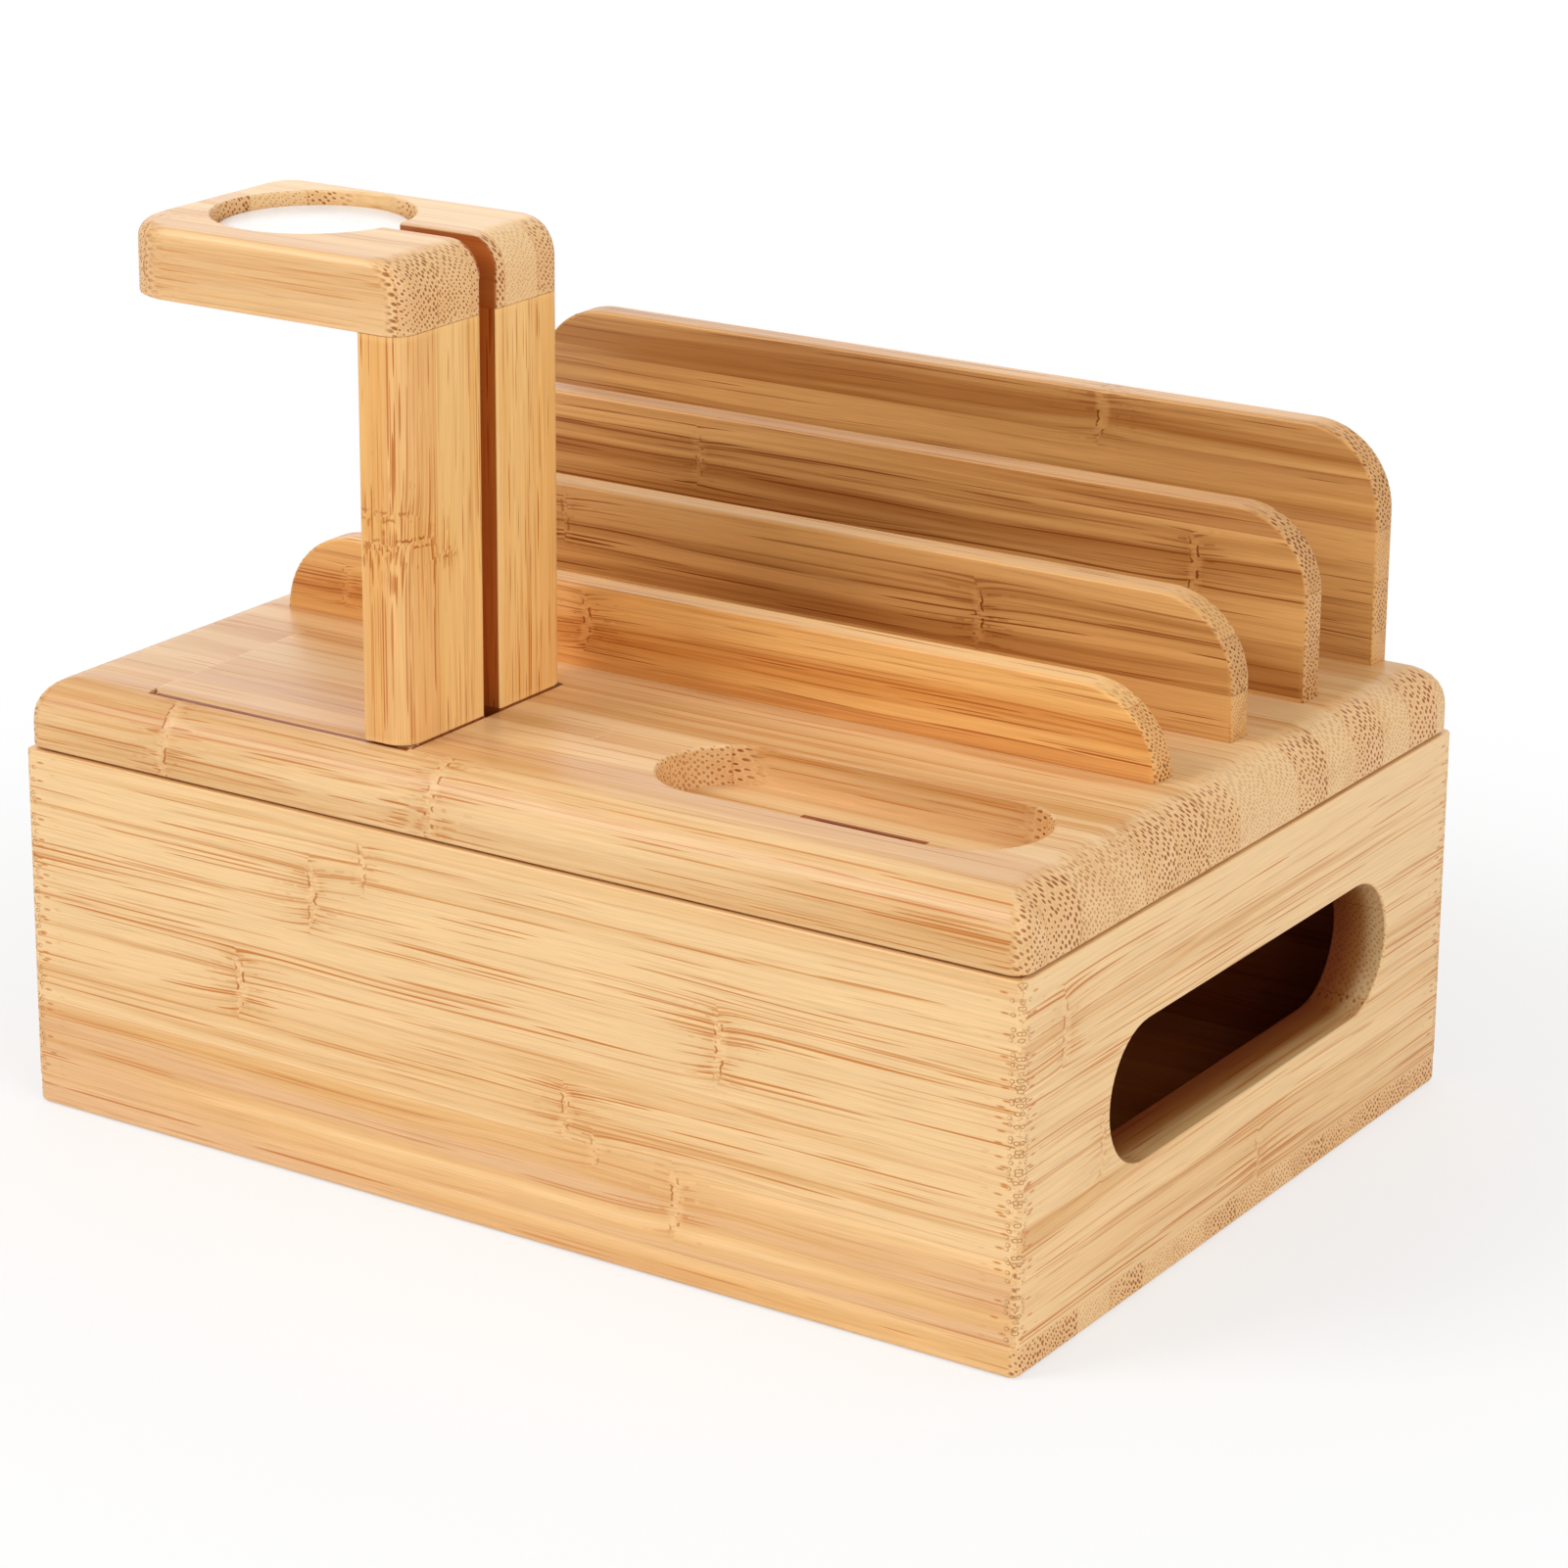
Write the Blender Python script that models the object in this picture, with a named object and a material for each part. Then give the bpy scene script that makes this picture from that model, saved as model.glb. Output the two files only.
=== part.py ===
"""Device organizer stand in bamboo.

A mitred box with an oblong cable opening in each side carries a loose lid. Four dividers that rise towards
the back stand in the lid's grooves, a dock pocket lies in front of them, and the foot of a C-shaped watch
stand drops into a pocket of its own. The stand's head holds a white charging disc in a round recess.

Lengths are in metres. X runs along the front, Y towards the back and Z up, and the origin is the middle of
the underside.
"""

import math

import bmesh
import bpy
from mathutils import Vector

# Clearances
GLUE_GAP = 0.0003
CUT_OVERRUN = 0.002

# Steps along each round
CORNER_STEPS = 6
EASE_STEPS = 5
CIRCLE_STEPS = 48

# Box
BOX_LENGTH = 0.175
BOX_DEPTH = 0.130
BOX_HEIGHT = 0.0575
BOX_EDGE_RADIUS = 0.0012
WALL_THICKNESS = 0.009
BASE_THICKNESS = 0.0045
BASE_CORNER_RADIUS = 0.003
BASE_EASE = 0.0008

# Cable opening in both side walls
OPENING_LENGTH = 0.085
OPENING_HEIGHT = 0.0212
OPENING_MIDDLE_Y = 0.0021
OPENING_MIDDLE_Z = 0.0306

# Lid
LID_THICKNESS = 0.0108
LID_INSET = 0.0003
LID_CORNER_RADIUS = 0.0028
LID_ROUND_OVER = 0.0067
LID_UNDER_EASE = 0.0006

# Battens under the lid, which keep it in its place on the box
BATTEN_WIDTH = 0.010
BATTEN_THICKNESS = 0.006
BATTEN_EASE = 0.001
BATTEN_CLEARANCE = 0.001

# Watch stand: the post stands at the right ends of foot and head, and the head's tip reaches further left
STAND_FRONT_MARGIN = 0.0052
STAND_LEFT_MARGIN = 0.0157
STAND_SIDE_WALL = 0.0046
FOOT_SIDE_STEP = 0.0009
FOOT_END_STEP = 0.0045
FOOT_THICKNESS = 0.006
FOOT_CORNER_RADIUS = 0.002
FOOT_EASE = 0.0012
FOOT_POCKET_CLEARANCE = 0.0003
FOOT_POCKET_CORNER_RADIUS = 0.0010
POST_THICKNESS = 0.008
POST_HEIGHT = 0.0601
POST_OUTER_RADIUS = 0.0035
POST_INNER_RADIUS = 0.0008
HEAD_THICKNESS = 0.0107
HEAD_NECK = 0.0091
HEAD_TIP_WALL = 0.0059
HEAD_TIP_FRONT_RADIUS = 0.0105
HEAD_TIP_BACK_RADIUS = 0.0045
HEAD_TIP_ROUND_OVER = 0.003
HEAD_END_ROUND_OVER = 0.0055
HEAD_EASE = 0.0015
HEAD_UNDER_EASE = 0.0013

# Charging disc and the recess in the head that holds it
DISC_RADIUS = 0.0148
DISC_CLEARANCE = 0.0004
DISC_THICKNESS = 0.006
DISC_EASE = 0.001
DISC_DROP = 0.0017
RECESS_OFFSET_Y = 0.0018

# Cable way: a slot through the head, a groove down the post, and a notch and a hole below it
CABLE_SLOT_WIDTH = 0.0038
CABLE_GROOVE_DEPTH = 0.005
CABLE_HOLE_LENGTH = 0.009
CABLE_OFFSET_Y = 0.001

# Dividers on the lid, the lowest in front
DIVIDER_COUNT = 4
DIVIDER_LENGTH = 0.156
DIVIDER_THICKNESS = 0.005
DIVIDER_BACK_MARGIN = 0.0046
DIVIDER_FRONT_SPACE = 0.0076
DIVIDER_FIRST_RISE = 0.013
DIVIDER_RISE_STEP = 0.0078
DIVIDER_CORNER_RADIUS = 0.013
DIVIDER_EASE = 0.0005
GROOVE_DEPTH = 0.004

# Dock pocket in the lid and the cable slits, one through its floor and one between each two dividers
DOCK_LENGTH = 0.0617
DOCK_WIDTH = 0.0228
DOCK_DEPTH = 0.006
DOCK_RIGHT_MARGIN = 0.0115
DOCK_FRONT_MARGIN = 0.013
SLIT_LENGTH = 0.020
SLIT_WIDTH = 0.007

# Heights that the stacked pieces give
WALL_BOTTOM_Z = BASE_THICKNESS + GLUE_GAP
LID_BOTTOM_Z = BOX_HEIGHT + GLUE_GAP
LID_TOP_Z = LID_BOTTOM_Z + LID_THICKNESS
POST_BOTTOM_Z = LID_TOP_Z + GLUE_GAP
HEAD_BOTTOM_Z = POST_BOTTOM_Z + POST_HEIGHT + GLUE_GAP

# Sizes and places along X and Y that follow
RECESS_RADIUS = DISC_RADIUS + DISC_CLEARANCE
RECESS_DEPTH = DISC_DROP + DISC_THICKNESS + GLUE_GAP
STAND_WIDTH = 2.0 * (RECESS_RADIUS + STAND_SIDE_WALL)
STAND_LENGTH = HEAD_TIP_WALL + 2.0 * RECESS_RADIUS + HEAD_NECK + POST_THICKNESS
FOOT_WIDTH = STAND_WIDTH - 2.0 * FOOT_SIDE_STEP
FOOT_LENGTH = STAND_LENGTH - FOOT_END_STEP
STAND_X = STAND_LEFT_MARGIN + 0.5 * (STAND_LENGTH - BOX_LENGTH)
STAND_RIGHT_X = STAND_X + 0.5 * STAND_LENGTH
FOOT_X = STAND_RIGHT_X - 0.5 * FOOT_LENGTH
STAND_Y = STAND_FRONT_MARGIN + 0.5 * STAND_WIDTH - 0.5 * BOX_DEPTH
POST_X = STAND_RIGHT_X - 0.5 * POST_THICKNESS
RECESS_X = STAND_X - 0.5 * STAND_LENGTH + HEAD_TIP_WALL + RECESS_RADIUS
RECESS_Y = STAND_Y + RECESS_OFFSET_Y
CABLE_Y = STAND_Y + CABLE_OFFSET_Y
DIVIDER_LAST_Y = 0.5 * (BOX_DEPTH - DIVIDER_THICKNESS) - DIVIDER_BACK_MARGIN
DIVIDER_FIRST_Y = STAND_Y + 0.5 * (STAND_WIDTH + DIVIDER_THICKNESS) + DIVIDER_FRONT_SPACE
DIVIDER_PITCH = (DIVIDER_LAST_Y - DIVIDER_FIRST_Y) / (DIVIDER_COUNT - 1)
DOCK_X = 0.5 * (BOX_LENGTH - DOCK_LENGTH) - DOCK_RIGHT_MARGIN
DOCK_Y = 0.5 * (DOCK_WIDTH - BOX_DEPTH) + DOCK_FRONT_MARGIN

# Finishes: colour, roughness, metallic
PALE_BAMBOO = ((0.80, 0.57, 0.32, 1.0), 0.42, 0.0)
WARM_BAMBOO = ((0.72, 0.46, 0.22, 1.0), 0.42, 0.0)
WHITE_PLASTIC = ((0.86, 0.85, 0.84, 1.0), 0.30, 0.0)

QUARTER_TURN = 0.5 * math.pi
SMOOTH_ANGLE = math.radians(40.0)
EASE_ANGLE = math.radians(60.0)


def clear_scene():
    """Remove every object that the file came with."""
    for item in list(bpy.data.objects):
        bpy.data.objects.remove(item, do_unlink=True)


def make_material(name, finish):
    """Make a Principled material from a finish: its colour, roughness and metallic value."""
    colour, roughness, metallic = finish
    material = bpy.data.materials.new(name)
    material.use_nodes = True
    shader = material.node_tree.nodes["Principled BSDF"]
    shader.inputs["Base Color"].default_value = colour
    shader.inputs["Roughness"].default_value = roughness
    shader.inputs["Metallic"].default_value = metallic
    return material


def place(item, location, parent=None, rotation=(0.0, 0.0, 0.0)):
    """Set what an object rides on, and its location and rotation there."""
    item.parent = parent
    item.location = location
    item.rotation_euler = rotation
    return item


def add_empty(name, location, parent=None):
    """Add an empty that a moving group of pieces rides on."""
    empty = bpy.data.objects.new(name, None)
    bpy.context.collection.objects.link(empty)
    return place(empty, location, parent)


def add_object(name, bm):
    """Turn a bmesh into a scene object whose rounds are smooth."""
    bmesh.ops.recalc_face_normals(bm, faces=bm.faces)
    mesh = bpy.data.meshes.new(name)
    bm.to_mesh(mesh)
    bm.free()
    mesh.shade_smooth()
    mesh.set_sharp_from_angle(angle=SMOOTH_ANGLE)
    item = bpy.data.objects.new(name, mesh)
    bpy.context.collection.objects.link(item)
    return item


def add_piece(name, bm, finish):
    """Add a sub-part with a material of its own."""
    piece = add_object(name, bm)
    piece.data.materials.append(make_material(name, finish))
    return piece


def add_cutter(name, bm):
    """Add a hidden shape that others are cut with."""
    cutter = add_object(name, bm)
    cutter.hide_render = True
    cutter.display_type = "WIRE"
    return cutter


def cut(target, *cutters):
    """Take the cutters' shapes out of the target."""
    for cutter in cutters:
        modifier = target.modifiers.new(cutter.name, "BOOLEAN")
        modifier.operation = "DIFFERENCE"
        modifier.solver = "EXACT"
        modifier.object = cutter


def ease_edges(piece, width):
    """Round every sharp edge of a piece a little."""
    modifier = piece.modifiers.new("eased_edges", "BEVEL")
    modifier.width = width
    modifier.segments = 2
    modifier.limit_method = "ANGLE"
    modifier.angle_limit = EASE_ANGLE


def rounded_outline(x_low, x_high, y_low, y_high, radii):
    """Points round a rectangle, counter-clockwise.

    The radii are those of the front left, front right, back right and back left corners.
    """
    corners = ((x_low, y_low), (x_high, y_low), (x_high, y_high), (x_low, y_high))
    inward = ((1.0, 1.0), (-1.0, 1.0), (-1.0, -1.0), (1.0, -1.0))
    points = []
    for turn, (corner, side, radius) in enumerate(zip(corners, inward, radii)):
        middle = Vector(corner) + radius * Vector(side)
        for step in range(CORNER_STEPS + 1):
            angle = math.pi + QUARTER_TURN * (turn + step / CORNER_STEPS)
            points.append(middle + radius * Vector((math.cos(angle), math.sin(angle))))
    return points


def rectangle(length, width):
    """Corners of a rectangle about the origin, its length along X."""
    half_length = 0.5 * length
    half_width = 0.5 * width
    return [
        Vector((-half_length, -half_width)),
        Vector((half_length, -half_width)),
        Vector((half_length, half_width)),
        Vector((-half_length, half_width)),
    ]


def oblong(length, width):
    """Points round an oblong with half-round ends, its length along X."""
    half = 0.5 * length
    radius = 0.5 * width
    points = []
    for end in (0, 1):
        middle = Vector(((half - radius) * (2 * end - 1), 0.0))
        for step in range(2 * CORNER_STEPS + 1):
            angle = QUARTER_TURN * (1 + 2 * end + step / CORNER_STEPS)
            points.append(middle + radius * Vector((math.cos(angle), math.sin(angle))))
    return points


def prism(outline, bottom, top):
    """Extrude a flat outline from the bottom height to the top height."""
    bm = bmesh.new()
    face = bm.faces.new([bm.verts.new((point.x, point.y, bottom)) for point in outline])
    raised = bmesh.ops.extrude_face_region(bm, geom=[face])
    moved = [part for part in raised["geom"] if isinstance(part, bmesh.types.BMVert)]
    bmesh.ops.translate(bm, verts=moved, vec=(0.0, 0.0, top - bottom))
    return bm


def inset_at(depth, radius):
    """How far a quarter-round edge stands back at a depth below the face it eases."""
    if depth >= radius:
        return 0.0
    return radius - math.sqrt(radius * radius - (radius - depth) ** 2)


def eased_board(size, radii, under_ease, top_ease, end_eases=None):
    """A board with rounded corners and eased edges, its origin in the middle of its underside.

    The size is its length, depth and thickness. The top face's left and right ends can have round-overs of
    their own.
    """
    length, depth, thickness = size
    left_ease, right_ease = end_eases or (top_ease, top_ease)
    highest = max(top_ease, left_ease, right_ease)
    turns = [QUARTER_TURN * step / EASE_STEPS for step in range(EASE_STEPS + 1)]
    heights = [under_ease * (1.0 - math.cos(turn)) for turn in turns]
    heights += [thickness - highest * (1.0 - math.sin(turn)) for turn in turns]
    bm = bmesh.new()
    below = None
    for height in heights:
        under = inset_at(height, under_ease)
        inset = under + inset_at(thickness - height, top_ease)
        left = -0.5 * length + under + inset_at(thickness - height, left_ease)
        right = 0.5 * length - under - inset_at(thickness - height, right_ease)
        half_depth = 0.5 * depth - inset
        shrunk = [radius * radius / (radius + inset) for radius in radii]
        outline = rounded_outline(left, right, -half_depth, half_depth, shrunk)
        ring = [bm.verts.new((point.x, point.y, height)) for point in outline]
        edges = [bm.edges.new((start, end)) for start, end in zip(ring, ring[1:] + ring[:1])]
        if below is None:
            bm.faces.new(ring)
        else:
            bmesh.ops.bridge_loops(bm, edges=below + edges)
        below = edges
    bm.faces.new(ring)
    return bm


def wall_outline(length):
    """Plan of a mitred wall: its outer face lies on Y = 0 and its inner face beyond it."""
    half = 0.5 * length
    mitre_shift = GLUE_GAP / math.sqrt(2.0)
    start = -QUARTER_TURN
    end = -0.5 * QUARTER_TURN - math.asin(0.5 * GLUE_GAP / BOX_EDGE_RADIUS)
    middle = Vector((half - BOX_EDGE_RADIUS, BOX_EDGE_RADIUS))
    right = []
    for step in range(CORNER_STEPS + 1):
        angle = start + (end - start) * step / CORNER_STEPS
        right.append(middle + BOX_EDGE_RADIUS * Vector((math.cos(angle), math.sin(angle))))
    right.append(Vector((half - mitre_shift - WALL_THICKNESS, WALL_THICKNESS)))
    left = [Vector((-point.x, point.y)) for point in reversed(right)]
    return right + left


def build_base():
    """The thin board under the walls."""
    size = (BOX_LENGTH, BOX_DEPTH, BASE_THICKNESS)
    board = eased_board(size, [BASE_CORNER_RADIUS] * 4, BASE_EASE, BASE_EASE)
    add_piece("base_board", board, PALE_BAMBOO)


def build_walls():
    """The four mitred walls, and one oblong bar that opens both side walls."""
    reach = 0.5 * BOX_LENGTH + CUT_OVERRUN
    opening = add_cutter("cable_opening", prism(oblong(OPENING_LENGTH, OPENING_HEIGHT), -reach, reach))
    along_x = (QUARTER_TURN, 0.0, QUARTER_TURN)
    place(opening, (0.0, OPENING_MIDDLE_Y, OPENING_MIDDLE_Z), rotation=along_x)
    sides = (
        ("front_wall", BOX_LENGTH, (0.0, -0.5 * BOX_DEPTH)),
        ("right_wall", BOX_DEPTH, (0.5 * BOX_LENGTH, 0.0)),
        ("back_wall", BOX_LENGTH, (0.0, 0.5 * BOX_DEPTH)),
        ("left_wall", BOX_DEPTH, (-0.5 * BOX_LENGTH, 0.0)),
    )
    for turn, (name, length, (x, y)) in enumerate(sides):
        wall = add_piece(name, prism(wall_outline(length), 0.0, BOX_HEIGHT - WALL_BOTTOM_Z), PALE_BAMBOO)
        place(wall, (x, y, WALL_BOTTOM_Z), rotation=(0.0, 0.0, QUARTER_TURN * turn))
        if x:
            cut(wall, opening)


def build_lid_board(lid):
    """The thick board with its round-over, pockets, grooves and slits."""
    size = (BOX_LENGTH - 2.0 * LID_INSET, BOX_DEPTH - 2.0 * LID_INSET, LID_THICKNESS)
    board = eased_board(size, [LID_CORNER_RADIUS] * 4, LID_UNDER_EASE, LID_ROUND_OVER)
    piece = place(add_piece("lid_board", board, PALE_BAMBOO), (0.0, 0.0, 0.0), lid)
    cut(piece, foot_pocket(lid), cable_hole(lid), dock_pocket(lid))
    cut(piece, *[divider_groove(lid, number) for number in range(DIVIDER_COUNT)])
    slit_y = [DOCK_Y]
    slit_y += [DIVIDER_FIRST_Y + DIVIDER_PITCH * (number + 0.5) for number in range(DIVIDER_COUNT - 1)]
    slit_x = [DOCK_X] + [0.0] * (DIVIDER_COUNT - 1)
    for number, place_in_plan in enumerate(zip(slit_x, slit_y)):
        cut(piece, cable_slit(lid, number, place_in_plan))


def foot_pocket(lid):
    """Cutter for the pocket that the stand's foot drops into."""
    half_length = 0.5 * FOOT_LENGTH + FOOT_POCKET_CLEARANCE
    half_width = 0.5 * FOOT_WIDTH + FOOT_POCKET_CLEARANCE
    radii = [FOOT_POCKET_CORNER_RADIUS] * 4
    outline = rounded_outline(-half_length, half_length, -half_width, half_width, radii)
    floor = LID_THICKNESS - FOOT_THICKNESS - GLUE_GAP
    cutter = add_cutter("foot_pocket", prism(outline, floor, LID_THICKNESS + CUT_OVERRUN))
    return place(cutter, (FOOT_X, STAND_Y, 0.0), lid)


def cable_hole(lid):
    """Cutter for the hole below the post's groove, which lets the cable into the box."""
    outline = oblong(CABLE_HOLE_LENGTH, CABLE_SLOT_WIDTH)
    cutter = add_cutter("cable_hole", prism(outline, -CUT_OVERRUN, LID_THICKNESS - 0.5 * FOOT_THICKNESS))
    x = STAND_RIGHT_X + FOOT_POCKET_CLEARANCE - 0.5 * CABLE_HOLE_LENGTH
    return place(cutter, (x, CABLE_Y, 0.0), lid)


def dock_pocket(lid):
    """Cutter for the oblong pocket at the front right."""
    outline = oblong(DOCK_LENGTH, DOCK_WIDTH)
    floor = LID_THICKNESS - DOCK_DEPTH
    cutter = add_cutter("dock_pocket", prism(outline, floor, LID_THICKNESS + CUT_OVERRUN))
    return place(cutter, (DOCK_X, DOCK_Y, 0.0), lid)


def divider_groove(lid, number):
    """Cutter for the groove that one divider stands in."""
    outline = rectangle(DIVIDER_LENGTH + 2.0 * GLUE_GAP, DIVIDER_THICKNESS + 2.0 * GLUE_GAP)
    floor = LID_THICKNESS - GROOVE_DEPTH
    cutter = add_cutter(f"divider_groove_{number + 1}", prism(outline, floor, LID_THICKNESS + CUT_OVERRUN))
    return place(cutter, (0.0, DIVIDER_FIRST_Y + DIVIDER_PITCH * number, 0.0), lid)


def cable_slit(lid, number, place_in_plan):
    """Cutter for one oblong slit through the lid."""
    x, y = place_in_plan
    outline = oblong(SLIT_LENGTH, SLIT_WIDTH)
    cutter = add_cutter(f"cable_slit_{number + 1}", prism(outline, -CUT_OVERRUN, LID_THICKNESS + CUT_OVERRUN))
    return place(cutter, (x, y, 0.0), lid)


def build_battens(lid):
    """The two cross battens that hang under the lid, just inside the box."""
    length = BOX_DEPTH - 2.0 * (WALL_THICKNESS + BATTEN_CLEARANCE)
    x = 0.5 * (BOX_LENGTH - BATTEN_WIDTH) - WALL_THICKNESS - BATTEN_CLEARANCE
    for name, side in (("lid_batten_left", -1.0), ("lid_batten_right", 1.0)):
        size = (BATTEN_WIDTH, length, BATTEN_THICKNESS)
        batten = add_piece(name, eased_board(size, [BATTEN_EASE] * 4, BATTEN_EASE, BATTEN_EASE), PALE_BAMBOO)
        place(batten, (side * x, 0.0, -GLUE_GAP - BATTEN_THICKNESS), lid)


def divider_outline(rise):
    """Front view of a divider: square at its foot, round at its upper corners."""
    half = 0.5 * DIVIDER_LENGTH
    radius = min(DIVIDER_CORNER_RADIUS, rise)
    foot = GLUE_GAP - GROOVE_DEPTH
    points = [Vector((-half, foot)), Vector((half, foot))]
    for end, side in ((0, 1.0), (1, -1.0)):
        middle = Vector((side * (half - radius), rise - radius))
        for step in range(2 * CORNER_STEPS + 1):
            angle = QUARTER_TURN * (end + 0.5 * step / CORNER_STEPS)
            points.append(middle + radius * Vector((math.cos(angle), math.sin(angle))))
    return points


def build_dividers(lid):
    """The row of dividers, each higher than the one in front of it."""
    upright = (QUARTER_TURN, 0.0, 0.0)
    for number in range(DIVIDER_COUNT):
        rise = DIVIDER_FIRST_RISE + DIVIDER_RISE_STEP * number
        board = prism(divider_outline(rise), -0.5 * DIVIDER_THICKNESS, 0.5 * DIVIDER_THICKNESS)
        divider = add_piece(f"divider_{number + 1}", board, WARM_BAMBOO)
        ease_edges(divider, DIVIDER_EASE)
        y = DIVIDER_FIRST_Y + DIVIDER_PITCH * number
        place(divider, (0.0, y, LID_THICKNESS), lid, rotation=upright)


def cable_groove(stand):
    """Cutter for the groove down the post's right face and the notch in the foot below it."""
    depth = 2.0 * CABLE_GROOVE_DEPTH
    bottom = LID_TOP_Z - FOOT_THICKNESS - CUT_OVERRUN
    outline = rectangle(depth, CABLE_SLOT_WIDTH)
    cutter = add_cutter("cable_groove", prism(outline, bottom, HEAD_BOTTOM_Z + CUT_OVERRUN))
    return place(cutter, (STAND_RIGHT_X, CABLE_Y, -LID_TOP_Z), stand)


def build_foot(stand, groove):
    """The foot plate, flush with the lid's top."""
    size = (FOOT_LENGTH, FOOT_WIDTH, FOOT_THICKNESS)
    board = eased_board(size, [FOOT_CORNER_RADIUS] * 4, FOOT_EASE, FOOT_EASE)
    foot = add_piece("stand_foot", board, PALE_BAMBOO)
    place(foot, (FOOT_X, STAND_Y, -FOOT_THICKNESS), stand)
    cut(foot, groove)


def build_post(stand, groove):
    """The upright between foot and head, round at its two right edges."""
    half_thickness = 0.5 * POST_THICKNESS
    half_width = 0.5 * STAND_WIDTH
    radii = (POST_INNER_RADIUS, POST_OUTER_RADIUS, POST_OUTER_RADIUS, POST_INNER_RADIUS)
    outline = rounded_outline(-half_thickness, half_thickness, -half_width, half_width, radii)
    post = add_piece("stand_post", prism(outline, 0.0, POST_HEIGHT), WARM_BAMBOO)
    place(post, (POST_X, STAND_Y, POST_BOTTOM_Z - LID_TOP_Z), stand)
    cut(post, groove)


def build_head(stand):
    """The arm with the round recess and the slot that leads the cable out to the right."""
    size = (STAND_LENGTH, STAND_WIDTH, HEAD_THICKNESS)
    radii = (HEAD_TIP_FRONT_RADIUS, POST_OUTER_RADIUS, POST_OUTER_RADIUS, HEAD_TIP_BACK_RADIUS)
    end_eases = (HEAD_TIP_ROUND_OVER, HEAD_END_ROUND_OVER)
    board = eased_board(size, radii, HEAD_UNDER_EASE, HEAD_EASE, end_eases)
    head = add_piece("stand_head", board, PALE_BAMBOO)
    bottom = HEAD_BOTTOM_Z - LID_TOP_Z
    place(head, (STAND_X, STAND_Y, bottom), stand)
    top = bottom + HEAD_THICKNESS + CUT_OVERRUN
    recess = add_cutter("disc_recess", prism(circle(RECESS_RADIUS), top - CUT_OVERRUN - RECESS_DEPTH, top))
    place(recess, (RECESS_X, RECESS_Y, 0.0), stand)
    slot_length = STAND_RIGHT_X + CUT_OVERRUN - RECESS_X
    slot_outline = rectangle(slot_length, CABLE_SLOT_WIDTH)
    slot = add_cutter("cable_slot", prism(slot_outline, bottom - CUT_OVERRUN, top))
    place(slot, (RECESS_X + 0.5 * slot_length, CABLE_Y, 0.0), stand)
    cut(head, recess, slot)


def circle(radius):
    """Points round a circle about the origin."""
    turns = [2.0 * math.pi * step / CIRCLE_STEPS for step in range(CIRCLE_STEPS)]
    return [radius * Vector((math.cos(turn), math.sin(turn))) for turn in turns]


def build_disc(stand):
    """The white charging disc, turned about its own axis with both rims eased."""
    radius = DISC_RADIUS - DISC_EASE
    profile = [Vector((0.0, 0.0, 0.0))]
    for side, middle_z in ((-1.0, DISC_EASE), (1.0, DISC_THICKNESS - DISC_EASE)):
        for step in range(EASE_STEPS + 1):
            turn = QUARTER_TURN * step / EASE_STEPS
            turn = QUARTER_TURN - turn if side < 0.0 else turn
            x = radius + DISC_EASE * math.cos(turn)
            profile.append(Vector((x, 0.0, middle_z + side * DISC_EASE * math.sin(turn))))
    profile.append(Vector((0.0, 0.0, DISC_THICKNESS)))
    bm = bmesh.new()
    points = [bm.verts.new(point) for point in profile]
    edges = [bm.edges.new(pair) for pair in zip(points, points[1:])]
    bmesh.ops.spin(
        bm,
        geom=points + edges,
        cent=(0.0, 0.0, 0.0),
        axis=(0.0, 0.0, 1.0),
        angle=2.0 * math.pi,
        steps=CIRCLE_STEPS,
    )
    bmesh.ops.remove_doubles(bm, verts=bm.verts, dist=GLUE_GAP)
    disc = add_piece("charging_disc", bm, WHITE_PLASTIC)
    bottom = HEAD_BOTTOM_Z - LID_TOP_Z + HEAD_THICKNESS - RECESS_DEPTH + GLUE_GAP
    place(disc, (RECESS_X, RECESS_Y, bottom), stand)


def build_stand(lid):
    """The watch stand, which lifts out of the lid as one piece."""
    stand = add_empty("stand_lift", (0.0, 0.0, LID_THICKNESS), lid)
    groove = cable_groove(stand)
    build_foot(stand, groove)
    build_post(stand, groove)
    build_head(stand)
    build_disc(stand)


def main():
    """Build the whole object."""
    clear_scene()
    build_base()
    build_walls()
    lid = add_empty("lid_lift", (0.0, 0.0, LID_BOTTOM_Z))
    build_lid_board(lid)
    build_battens(lid)
    build_dividers(lid)
    build_stand(lid)


if __name__ == "__main__":
    main()
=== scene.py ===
"""A bamboo device organizer: a box with a lift-off lid, four dividers, a watch stand and its disc.

The solids of the frame give each piece its place. Every board is modelled again with its fine
edges and dressed in bamboo, whose fibres, glued strips, pores and knuckles run through the wood,
with painted shade in its hollows, grooves and seams.
"""

import logging
import math
from dataclasses import dataclass, field
from enum import Enum

import bmesh
import bpy
from mathutils import Matrix, Vector


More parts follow.
